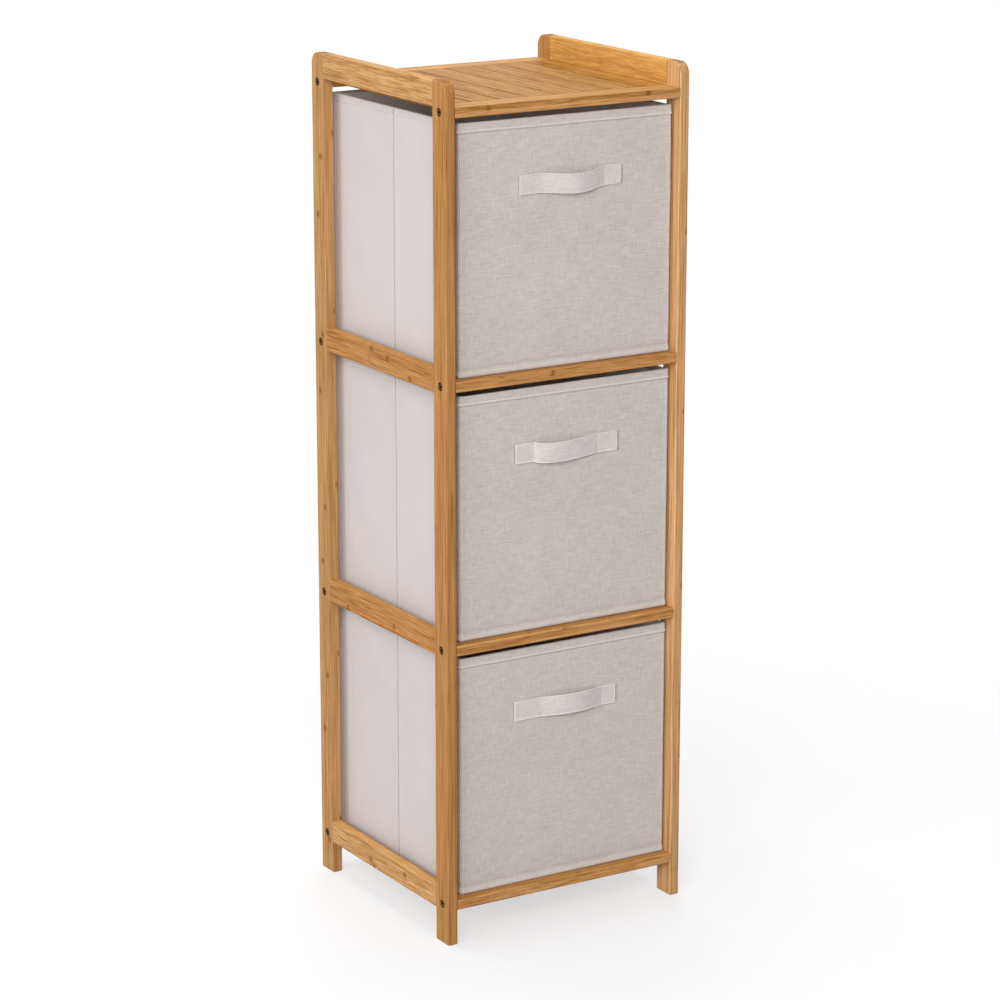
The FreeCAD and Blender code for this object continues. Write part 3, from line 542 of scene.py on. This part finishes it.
# The sides carry the painted shade along their fold line.
SIDE_CLOTH = felted("felted_side", seen(207, 200, 199), painted_fold=True)
LINING_CLOTH = felted("felted_lining", seen(248, 228, 220), "Object")
RIM_CLOTH = felted("felted_rim", seen(200, 192, 189), "Object")
BOARD_CLOTH = felted("felted_base_board", seen(228, 221, 216), "Object")
THREAD = cloudy("sewing_thread", seen(222, 215, 210), seen(240, 235, 230), 2400, 0.7)
print("felted cloth with points every", POINT_PITCH, "m")

# %% [markdown]
# A sheet of cloth starts as a flat cut, a grid of faces with its places across and up in metres. Those
# numbers also become its UV map. The grid is close where the cloth will turn or carry a seam and wide where
# it stays flat, because faces spent on flat cloth show nothing.

# %% Cutting cloth
MM = 0.001
UP = Vector((0, 0, 1))


def graded(*runs):
    """Places along a line, in metres. Each run says where it starts and ends and in how many steps."""
    places = [runs[0][0]]
    for start, end, steps in runs:
        places += [start + (end - start) * step / steps for step in range(1, steps + 1)]
    return places


def cut_cloth(columns, rows):
    """A flat sheet with a vertex at each column and row."""
    bm = bmesh.new()
    bmesh.ops.create_grid(bm, x_segments=len(columns) - 1, y_segments=len(rows) - 1, size=0.5)
    for vert in bm.verts:
        column = round((vert.co.x + 0.5) * (len(columns) - 1))
        row = round((vert.co.y + 0.5) * (len(rows) - 1))
        vert.co = (columns[column], rows[row], 0)
    flat_cut = bm.loops.layers.uv.new("flat_cut")
    for face in bm.faces:
        for loop in face.loops:
            loop[flat_cut].uv = loop.vert.co.xy
    return bm


def finish_piece(bm, name, material, body, replaced=(), thickness=None):
    """Makes a mesh object of a bmesh, rides it on its body and hides the parts it replaces."""
    for face in bm.faces:
        face.smooth = True
    mesh = bpy.data.meshes.new(name)
    bm.to_mesh(mesh)
    bm.free()
    mesh.materials.append(material)
    piece = bpy.data.objects.new(name, mesh)
    scene.collection.objects.link(piece)
    if thickness:
        solidify = piece.modifiers.new("thickness", "SOLIDIFY")
        solidify.thickness = thickness
        solidify.offset = -1
    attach(piece, body)
    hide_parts(*replaced)
    print(name, "has", len(mesh.polygons), "faces")
    return piece


def smooth_step(value, low, high):
    share = min(1.0, max(0.0, (value - low) / (high - low)))
    return share * share * (3 - 2 * share)


def ridge(value, middle, width):
    """1 at the middle, falling away over the width on both sides."""
    return math.exp(-((value - middle) / width) ** 2)


sample = graded((0, 2 * MM, 4), (2 * MM, 8 * MM, 2))
print("a cut has its columns at", [round(place / MM, 2) for place in sample], "mm")

# %% [markdown]
# The end slats of the top shelf lie against the low side rails, half a millimetre apart. The floor would
# shine through that joint as a white hair, so a line of glue closes it here. A cube, stretched to the length
# of the rail and a little wider than the joint, is all it needs.

# %% Glue lines of the top shelf
GLUE_BELOW = 0.3 * MM
GLUE_TALL = 4 * MM
GLUE_LAP = 0.1 * MM


def make_glue_line(side):
    slats_low, slats_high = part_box("top_shelf_slats")
    rail_low, rail_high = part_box(side + "_top_rail")
    joint = (rail_high.x, slats_low.x) if side == "left" else (slats_high.x, rail_low.x)
    top = slats_high.z - GLUE_BELOW
    middle = Vector((sum(joint) / 2, (rail_low.y + rail_high.y) / 2, top - GLUE_TALL / 2))
    size = Matrix.Diagonal((joint[1] - joint[0] + 2 * GLUE_LAP, rail_high.y - rail_low.y, GLUE_TALL, 1))
    bm = bmesh.new()
    bmesh.ops.create_cube(bm, size=1, matrix=Matrix.Translation(middle) @ size)
    return finish_piece(bm, side + "_glue_line", SLATS, "stand")


for side in ("left", "right"):
    make_glue_line(side)

# %% [markdown]
# Each basket's sizes are read from the frame, so the cloth fits its boards. A wall is described by the
# middle of its lower edge and the way it faces. A place on the flat cut then turns into a place on the
# basket: straight across the wall, round the corner, and over the top edge.

# %% Measuring the baskets and placing cloth on them
CORNER_RADIUS = 2.6 * MM
TIGHTEST_TURN = 0.9 * MM
TOP_ROLL = 1.1 * MM
BOTTOM_ROLL = 2.4 * MM
BASKETS = ("bottom", "middle", "top")


class Wall:
    """One wall of a basket, on which cloth is placed."""

    def __init__(self, centre, outward, width, tall):
        self.centre = Vector(centre)
        self.outward = Vector(outward)
        self.sideways = UP.cross(self.outward)
        self.half = width / 2
        self.tall = tall

    def place(self, across, up, proud=0.0):
        """Where a place on the cut comes to lie, with the cloth standing proud of the wall by so much."""
        height, inward = up, 0.0
        if up > self.tall - TOP_ROLL:
            turn = min((up - self.tall + TOP_ROLL) / TOP_ROLL, math.pi / 2)
            height = self.tall - TOP_ROLL + (TOP_ROLL + proud) * math.sin(turn)
            inward = (TOP_ROLL + proud) * (1 - math.cos(turn))
        elif up < BOTTOM_ROLL:
            turn = min((BOTTOM_ROLL - up) / BOTTOM_ROLL, math.pi / 2)
            height = BOTTOM_ROLL * (1 - math.sin(turn))
            inward = BOTTOM_ROLL * (1 - math.cos(turn))
        out = proud - inward
        past = abs(across) - (self.half - CORNER_RADIUS)
        if past <= 0:
            return self.centre + self.sideways * across + UP * height + self.outward * out
        side = math.copysign(1, across)
        turn = min(past / CORNER_RADIUS, math.pi / 2)
        on = past - turn * CORNER_RADIUS
        facing = self.outward * math.cos(turn) + self.sideways * (side * math.sin(turn))
        corner = side * (self.half - CORNER_RADIUS)
        pivot = self.centre + self.sideways * corner - self.outward * CORNER_RADIUS
        bend = max(CORNER_RADIUS + out, TIGHTEST_TURN)
        return pivot + facing * bend - self.outward * on + UP * height

    def lay(self, bm, relief):
        """Lays a flat cut on the wall, with its relief."""
        for vert in bm.verts:
            across, up = vert.co.x, vert.co.y
            vert.co = self.place(across, up, relief(across, up))


def measure(name):
    """The low and high corner of a basket's walls and the middle of its handle, from the frame."""
    front_low, front_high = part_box(name + "_basket_front_cloth")
    _, back_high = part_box(name + "_basket_back_cloth")
    handle_low, handle_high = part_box(name + "_basket_handle")
    hem_proud = handle_high.y - front_low.y
    low = Vector((front_low.x, front_low.y + hem_proud, front_low.z))
    high = Vector((front_high.x, back_high.y, front_high.z))
    return low, high, (handle_low + handle_high) / 2


for name in BASKETS:
    low, high, handle = measure(name)
    sizes = [round(value / MM, 1) for value in high - low]
    print(name, "basket", sizes, "with its handle at", round(handle.z / MM, 1))

# %% [markdown]
# The front is one sheet of linen that turns round both corners, where the sides are sewn to it. Its top edge
# is folded over twice and stitched down as a flat hem, whose lower edge stands up as a ridge, and its lower
# edge is rolled. Cloth over a board isn't quite flat: it has slow waves, and creases that pull from the hem
# towards the handle.

# %% Linen fronts
CLOTH_THICKNESS = 0.8 * MM
TURN_BACK = 6 * MM
EDGE_STEPS = 14

CREASES = {
    "top": [((-44, 271), (-80, 248), 0.8), ((-62, 268), (-104, 246), 0.5), ((34, 258), (62, 238), 0.3)],
    "middle": [((-96, 252), (-70, 232), 0.3), ((40, 262), (80, 236), 0.3), ((-22, 252), (-46, 228), 0.5)],
    "bottom": [((60, 256), (84, 226), 0.35), ((-110, 250), (-74, 220), 0.3), ((-128, 40), (-96, 14), 0.3)],
}


def crease_depth(across, up, creases):
    """How deep the creases are at a place: each is a line that fades out at both ends."""
    here = Vector((across, up)) / MM
    depth = 0.0
    for start, end, deep in creases:
        start, end = Vector(start), Vector(end)
        share = (here - start).dot(end - start) / (end - start).length_squared
        fade = smooth_step(share, -0.1, 0.25) * (1 - smooth_step(share, 0.7, 1.15))
        off = ((here - start) - (end - start) * share).length
        depth += deep * MM * fade * (ridge(off, 0, 2.6) - 0.6 * ridge(off, 5.5, 3.0))
    return depth


def front_relief(wall, number, creases):
    """Waves and creases, the two hems with a groove beside each, and the corner seams."""
    def relief(across, up):
        below_top = wall.tall - up
        wave = noise.noise(Vector((across * 16, up * 13, number * 5.0)))
        ripple = noise.noise(Vector((across * 48, up * 40, number * 9.0)))
        loose = smooth_step(min(below_top - TOP_HEM, up - BOTTOM_HEM), 0, 40 * MM)
        hem = TOP_HEM + 0.2 * MM * noise.noise(Vector((across * 22, number, 0)))
        pull = 1 + 0.45 * noise.noise(Vector((across * 34, number * 3.0, 2.0)))
        proud = (0.55 * wave + 0.2 * ripple) * MM * (0.35 + 0.65 * loose)
        proud -= crease_depth(across, up, creases)
        proud += 0.4 * MM * (1 - smooth_step(below_top, hem - 0.6 * MM, hem + 0.8 * MM))
        proud += 0.8 * pull * MM * ridge(below_top, hem - 1.8 * MM, 1.3 * MM)
        proud -= 0.35 * MM * ridge(below_top, hem + 0.6 * MM, 1.1 * MM)
        proud += 0.9 * MM * ridge(up, 3.0 * MM, 3.4 * MM)
        proud -= 0.4 * MM * ridge(up, BOTTOM_HEM + 1.2 * MM, 1.5 * MM)
        proud += 0.45 * MM * ridge(abs(across), wall.half - 3.2 * MM, 1.3 * MM)
        proud -= 0.8 * MM * ridge(abs(across), wall.half - 0.4 * MM, 0.5 * MM)
        return proud
    return relief


def wall_columns(half):
    """Places across a sheet that turns round both corners of its wall."""
    flat = half - CORNER_RADIUS
    reach = flat + CORNER_RADIUS * math.pi / 2 + TURN_BACK
    arc = flat + CORNER_RADIUS * math.pi / 2
    return graded((-reach, -arc, 2), (-arc, -flat, EDGE_STEPS), (-flat, -flat + 6 * MM, 6),
                  (-flat + 6 * MM, flat - 6 * MM, 84), (flat - 6 * MM, flat, 6), (flat, arc, EDGE_STEPS),
                  (arc, reach, 2))


def wall_rows(tall, wide_steps):
    """Places up a sheet, close together at its hems."""
    under = BOTTOM_ROLL * (1 - math.pi / 2)
    over = tall - TOP_ROLL + TOP_ROLL * math.pi / 2
    return graded((under, BOTTOM_ROLL, 6), (BOTTOM_ROLL, 12 * MM, 14), (12 * MM, tall - 14 * MM, wide_steps),
                  (tall - 14 * MM, tall - TOP_ROLL, 26), (tall - TOP_ROLL, over, 5))


fronts = {}
for number, name in enumerate(BASKETS):
    low, high, _ = measure(name)
    wall = Wall(((low.x + high.x) / 2, low.y, low.z), (0, -1, 0), high.x - low.x, high.z - low.z)
    relief = front_relief(wall, number, CREASES[name])
    cloth = cut_cloth(wall_columns(wall.half), wall_rows(wall.tall, 66))
    wall.lay(cloth, relief)
    sheet = finish_piece(cloth, name + "_front_linen", FRONT_LINEN, name + "_basket",
                         [name + "_basket_front_cloth"], CLOTH_THICKNESS)
    fronts[name] = (wall, relief, sheet)

# %% [markdown]
# The sides are felted cloth with a fold line down the middle, where the two boards inside part and the basket
# folds flat. The cloth sinks into that gap and rises a little beside it. The hem is stitched about a
# centimetre below the top. The back is one sheet that turns round its corners like the front.

# %% Sides and backs
SIDE_HEM = 9.4 * MM
SIDE_TUCK = 0.5 * MM
FOLD_DEPTH = 0.7 * MM


def side_relief(wall, number):
    """Waves, the fold line, and a puckered hem that is slacker on one half."""
    def relief(across, up):
        below_top = wall.tall - up
        wave = noise.noise(Vector((across * 11, up * 9, number * 7.0 + 40)))
        proud = 0.5 * MM * wave - SIDE_TUCK
        proud -= FOLD_DEPTH * ridge(across, 0, 0.5 * MM)
        proud += 0.15 * MM * (ridge(across, 2.4 * MM, 1.3 * MM) + ridge(across, -2.4 * MM, 1.3 * MM))
        slack = 0.65 if across < 0 else 0.3
        pucker = slack * (1 + 0.5 * noise.noise(Vector((across * 60, number, 5.0))))
        proud += pucker * MM * ridge(below_top, SIDE_HEM - 1.6 * MM, 1.5 * MM)
        proud -= 0.9 * pucker * MM * ridge(below_top, SIDE_HEM + 0.8 * MM, 0.7 * MM)
        proud -= 0.5 * pucker * MM * ridge(below_top, SIDE_HEM - 4.0 * MM, 0.7 * MM)
        return proud
    return relief


def back_relief(wall, number):
    def relief(across, up):
        below_top = wall.tall - up
        wave = noise.noise(Vector((across * 10, up * 10, number * 3.0 + 80)))
        proud = 0.5 * MM * wave
        proud += 0.4 * MM * ridge(below_top, SIDE_HEM - 1.3 * MM, 1.1 * MM)
        proud -= 0.4 * MM * ridge(below_top, SIDE_HEM + 0.6 * MM, 0.8 * MM)
        return proud
    return relief


sides, backs = {}, {}
for number, name in enumerate(BASKETS):
    low, high, _ = measure(name)
    depth = high.y - low.y
    middle = (low.y + high.y) / 2
    side_half = depth / 2 - CORNER_RADIUS - 0.6 * TURN_BACK
    for side, x, facing in (("left", low.x, (-1, 0, 0)), ("right", high.x, (1, 0, 0))):
        wall = Wall((x, middle, low.z), facing, depth, high.z - low.z)
        relief = side_relief(wall, number + (10 if side == "right" else 0))
        columns = graded((-side_half, -6 * MM, 38), (-6 * MM, -2 * MM, 6), (-2 * MM, 2 * MM, 20),
                         (2 * MM, 6 * MM, 6), (6 * MM, side_half, 38))
        cloth = cut_cloth(columns, wall_rows(wall.tall, 52))
        wall.lay(cloth, relief)
        replaced = [name + "_basket_side_cloths"] if side == "left" else []
        sheet = finish_piece(cloth, "%s_%s_cover" % (name, side), SIDE_CLOTH, name + "_basket",
                             replaced, CLOTH_THICKNESS)
        sides[name, side] = (wall, relief, sheet)

    wall = Wall(((low.x + high.x) / 2, high.y, low.z), (0, 1, 0), high.x - low.x, high.z - low.z)
    relief = back_relief(wall, number)
    cloth = cut_cloth(wall_columns(wall.half), wall_rows(wall.tall, 40))
    wall.lay(cloth, relief)
    sheet = finish_piece(cloth, name + "_back_cover", COVER_CLOTH, name + "_basket",
                         [name + "_basket_back_cloth"], CLOTH_THICKNESS)
    backs[name] = (wall, relief, sheet)

# %% [markdown]
# Inside, a lining covers the boards on all four walls, a tape closes the top edge over them, and a sheet
# closes the floor. The lining is a rounded rectangle drawn upwards. For the tape, two such rectangles are
# bridged to a ring, which is drawn down and rounded with a bevel.

# %% Lining, rim and floor
LINING_THICKNESS = 0.7 * MM
LINING_TOP_GAP = 3.0 * MM
INNER_CORNER = 2.0 * MM
RIM_BELOW_TOP = 0.2 * MM
RIM_LAP = 0.9 * MM
RIM_ROUND = 1.2 * MM
FLOOR_THICKNESS = 0.6 * MM


def rounded_rectangle(low, high, z, radius, bm=None):
    """A face of a new or given bmesh: a rectangle whose corners are rounded."""
    if bm is None:
        bm = bmesh.new()
    corners = ((low.x, low.y), (high.x, low.y), (high.x, high.y), (low.x, high.y))
    verts = [bm.verts.new((x, y, z)) for x, y in corners]
    bm.faces.new(verts)
    bmesh.ops.bevel(bm, geom=verts, offset=radius, segments=5, profile=0.5, affect="VERTICES", material=-1)
    return bm


def raise_faces(bm, faces, rise):
    """Extrudes faces straight up or down."""
    grown = bmesh.ops.extrude_face_region(bm, geom=faces)["geom"]
    verts = [item for item in grown if isinstance(item, bmesh.types.BMVert)]
    bmesh.ops.translate(bm, verts=verts, vec=(0, 0, rise))


def make_lining(name, number):
    box_low, box_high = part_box(name + "_basket_lining")
    tall = box_high.z - box_low.z - LINING_TOP_GAP
    bm = rounded_rectangle(box_low, box_high, box_low.z, INNER_CORNER)
    raise_faces(bm, bm.faces[:], tall)
    ends = [face for face in bm.faces if abs(face.normal.z) > 0.9 or len(face.verts) > 4]
    bmesh.ops.delete(bm, geom=ends, context="FACES_ONLY")
    upright = [edge for edge in bm.edges if abs(edge.verts[0].co.z - edge.verts[1].co.z) > tall / 2]
    bmesh.ops.subdivide_edges(bm, edges=upright, cuts=30, use_grid_fill=True)
    level = [edge for edge in bm.edges if edge.calc_length() > 100 * MM]
    bmesh.ops.subdivide_edges(bm, edges=level, cuts=30, use_grid_fill=True)
    bmesh.ops.recalc_face_normals(bm, faces=bm.faces[:])
    centre = (box_low + box_high) / 2
    for vert in bm.verts:
        wave = noise.noise(vert.co * 14 + Vector((0, 0, number * 3.0)))
        toward = Vector((centre.x - vert.co.x, centre.y - vert.co.y, 0)).normalized()
        vert.co += toward * (0.35 * MM * (wave + 1))
    return finish_piece(bm, name + "_lining", LINING_CLOTH, name + "_basket",
                        [name + "_basket_lining"], LINING_THICKNESS)


def make_rim(name):
    rim_low, rim_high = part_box(name + "_basket_rim_tape")
    lining_low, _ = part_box(name + "_basket_lining")
    top = rim_high.z - RIM_BELOW_TOP
    wall = lining_low.x - rim_low.x + RIM_LAP
    inset = Vector((wall, wall, 0))
    bm = rounded_rectangle(rim_low, rim_high, top, INNER_CORNER)
    rounded_rectangle(rim_low + inset, rim_high - inset, top, INNER_CORNER, bm)
    bmesh.ops.delete(bm, geom=bm.faces[:], context="FACES_ONLY")
    bmesh.ops.bridge_loops(bm, edges=bm.edges[:])
    raise_faces(bm, bm.faces[:], rim_low.z - rim_high.z)
    bmesh.ops.recalc_face_normals(bm, faces=bm.faces[:])
    edge_of_top = [edge for edge in bm.edges if abs(edge.verts[0].co.z - edge.verts[1].co.z) < 1e-6
                   and edge.verts[0].co.z > rim_high.z - 1 * MM and edge.calc_face_angle(0) > 1]
    bmesh.ops.bevel(bm, geom=edge_of_top, offset=RIM_ROUND, segments=4, profile=0.5, affect="EDGES",
                    material=-1)
    return finish_piece(bm, name + "_rim_tape", RIM_CLOTH, name + "_basket",
                        [name + "_basket_rim_tape"])


def make_floor(name, number):
    floor_low, floor_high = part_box(name + "_basket_floor_cloth")
    columns = graded((floor_low.x, floor_high.x, 40))
    rows = graded((floor_low.y, floor_high.y, 40))
    cloth = cut_cloth(columns, rows)
    for vert in cloth.verts:
        wave = noise.noise(Vector((vert.co.x * 12, vert.co.y * 12, number * 4.0)))
        vert.co.z = floor_high.z - 0.2 * MM * (wave + 1)
    return finish_piece(cloth, name + "_floor_cover", COVER_CLOTH, name + "_basket",
                        [name + "_basket_floor_cloth"], FLOOR_THICKNESS)


linings, floors = {}, {}
for number, name in enumerate(BASKETS):
    linings[name] = make_lining(name, number)
    make_rim(name)
    floors[name] = make_floor(name, number)

# %% [markdown]
# The loose base board keeps the floor flat. It is card wrapped in cloth, so its edges are soft: a slab with
# its corners rounded first, then all its edges.

# %% Base boards
BOARD_CORNER = 8 * MM
BOARD_EDGE = 1.2 * MM


def make_base_board(name):
    low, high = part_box(name + "_basket_base_board")
    bm = rounded_rectangle(low, high, low.z, BOARD_CORNER)
    raise_faces(bm, bm.faces[:], high.z - low.z)
    bmesh.ops.recalc_face_normals(bm, faces=bm.faces[:])
    rims = [edge for edge in bm.edges if abs(edge.verts[0].co.z - edge.verts[1].co.z) < 1e-6]
    bmesh.ops.bevel(bm, geom=rims, offset=BOARD_EDGE, segments=4, profile=0.5, affect="EDGES", material=-1)
    return finish_piece(bm, name + "_base_board", BOARD_CLOTH, name + "_base_board",
                        [name + "_basket_base_board"])


for name in BASKETS:
    make_base_board(name)

# %% [markdown]
# The handle is a folded strip of the same linen, thicker along its two edges. Its ends are sewn flat on the
# front and the middle stands off it, so that fingers go behind. No two were sewn alike, so each has its own
# bow: how far it stands off, at which end it rises fast, and how much it hangs.

# %% Handles
STRAP_THICKNESS = 1.4 * MM
BOWS = {
    "top": dict(ends=(-63.4, 72.4), tabs=(24.4, 23.5), wide=22.6, lift=0.8, tilt=1.15,
                crest=0.57, soft=1.6, stands_off=6.6, hang=3.8),
    "middle": dict(ends=(-68.4, 70.5), tabs=(25.7, 29.7), wide=23.4, lift=-0.75, tilt=-0.2,
                   crest=0.35, soft=0.95, stands_off=6.4, hang=2.5),
    "bottom": dict(ends=(-69.8, 70.6), tabs=(35.7, 20.7), wide=23.9, lift=0.25, tilt=0.0,
                   crest=0.52, soft=1.25, stands_off=7.0, hang=0.1),
}


def bowed(share, bow):
    """How far off the cloth the strap is, from 0 to 1 at its crest, at a share of its free span."""
    if not 0 < share < 1:
        return 0.0
    crest = bow["crest"]
    if crest > 0.5:
        share, crest = 1 - share, 1 - crest
    return math.sin(math.pi * share ** (math.log(0.5) / math.log(crest))) ** bow["soft"]


def make_handle(name, number):
    bow = BOWS[name]
    low, _, middle = measure(name)
    wall, front, _ = fronts[name]
    left, right = bow["ends"][0] * MM, bow["ends"][1] * MM
    free_left, free_right = left + bow["tabs"][0] * MM, right - bow["tabs"][1] * MM
    free = free_right - free_left
    half = bow["wide"] / 2 * MM
    columns = graded((left, free_left, 12), (free_left, free_left + 6 * MM, 14),
                     (free_left + 6 * MM, free_right - 6 * MM, 44),
                     (free_right - 6 * MM, free_right, 14), (free_right, right, 12))
    rows = graded((-half, 3 * MM - half, 8), (3 * MM - half, half - 3 * MM, 8), (half - 3 * MM, half, 8))
    cloth = cut_cloth(columns, rows)
    height = middle.z - low.z + bow["lift"] * MM
    for vert in cloth.verts:
        across, up = vert.co.x, vert.co.y
        loose = bowed((across - free_left) / free, bow)
        in_from_edge = half - abs(up)
        hem = 0.4 * ridge(in_from_edge, 0.9 * MM, 0.7 * MM) - 0.2 * ridge(in_from_edge, 2.6 * MM, 0.6 * MM)
        waver = 0.3 * loose * noise.noise(Vector((across * 60, up * 60, number * 2.0 + 9)))
        proud = STRAP_THICKNESS + (bow["stands_off"] * loose + hem + waver) * MM
        rise = height + up + (bow["tilt"] * across / right - bow["hang"] * loose) * MM
        vert.co = wall.place(across, rise, front(across, rise) + proud)
    strap = finish_piece(cloth, name + "_handle", STRAP_LINEN, name + "_basket",
                         [name + "_basket_handle"], STRAP_THICKNESS)
    strap.data.materials.append(STRAP_EDGE)
    strap.modifiers["thickness"].material_offset_rim = 1
    return strap


for number, name in enumerate(BASKETS):
    make_handle(name, number)

# %% [markdown]
# The seams are sewn: a stitch is a short grain of thread that sinks into the cloth at both ends. One small
# ball, stretched, stands for each, and a seam is a row of them laid on the cloth along its line. A bar tack,
# short rows close together, holds the top of each fold.

# %% Stitching
STITCH_PITCH = 3.4 * MM
STITCH_LENGTH = 2.5 * MM
STITCH_RADIUS = 0.34 * MM
BARTACK_RUNGS = 7


def sew(bm, place, start, end, proud=0.05 * MM):
    """Stitches from one place on the cut to another. place gives where a place on the cut lies."""
    start, end = Vector(start), Vector(end)
    count = max(1, round((end - start).length / STITCH_PITCH))
    for number in range(count):
        here = start + (end - start) * ((number + 0.5) / count)
        step = (end - start).normalized() * (0.5 * MM)
        before, after = place(*(here - step), proud), place(*(here + step), proud)
        turn = (after - before).to_track_quat("X", "Z").to_matrix().to_4x4()
        size = Matrix.Diagonal((STITCH_LENGTH / 2, STITCH_RADIUS, STITCH_RADIUS, 1))
        laid = Matrix.Translation((before + after) / 2) @ turn @ size
        bmesh.ops.create_icosphere(bm, subdivisions=1, radius=1, matrix=laid)


def on_wall(wall, relief):
    return lambda across, up, proud: wall.place(across, up, relief(across, up) + proud)


def stitch_basket(name):
    bm = bmesh.new()
    wall, relief, _ = fronts[name]
    surface = on_wall(wall, relief)
    edge = wall.half - 3 * MM
    hem = wall.tall - TOP_HEM + 1.8 * MM
    sew(bm, surface, (-edge, hem), (edge, hem))
    for side in ("left", "right"):
        wall, relief, _ = sides[name, side]
        surface = on_wall(wall, relief)
        reach = wall.half - 12 * MM
        line = wall.tall - SIDE_HEM
        sew(bm, surface, (-reach, line), (-3 * MM, line))
        sew(bm, surface, (3 * MM, line), (reach, line))
        for rung in range(BARTACK_RUNGS):
            level = line - 1.6 * MM + rung * 0.55 * MM
            for start in (-4.4 * MM, -2.2 * MM):
                sew(bm, surface, (start, level), (start + 2.4 * MM, level), 0.5 * MM)
    wall, relief, _ = backs[name]
    edge = wall.half - 3 * MM
    line = wall.tall - SIDE_HEM
    sew(bm, on_wall(wall, relief), (-edge, line), (edge, line))
    return bm


def stitch_handle(bm, name):
    """A box of stitches on each sewn end."""
    bow = BOWS[name]
    wall, relief, _ = fronts[name]
    low, _, middle = measure(name)
    height = middle.z - low.z + bow["lift"] * MM
    inset = 2.2 * MM
    top = bow["wide"] / 2 * MM - inset

    left, right = bow["ends"][0] * MM, bow["ends"][1] * MM
    left_tab, right_tab = bow["tabs"][0] * MM, bow["tabs"][1] * MM

    def on_tab(across, up, proud):
        rise = height + up + bow["tilt"] * MM * across / right
        return wall.place(across, rise, relief(across, rise) + STRAP_THICKNESS + proud)

    for near, far in ((left + inset, left + left_tab - inset), (right - right_tab + inset, right - inset)):
        for start, end in (((near, -top), (near, top)), ((far, -top), (far, top)),
                           ((near, top), (far, top)), ((near, -top), (far, -top))):
            sew(bm, on_tab, start, end)


for name in BASKETS:
    seams = stitch_basket(name)
    stitch_handle(seams, name)
    finish_piece(seams, name + "_stitching", THREAD, name + "_basket")

# %% [markdown]
# Each sheet is declared with the size of its flat cut, which is its wall and the cloth that turns round the
# corners and into the hems. The sheets are stretched over boards, so they keep that size.


for name in BASKETS:
    boards = name + "_basket_stiffeners"
    low, high, _ = measure(name)
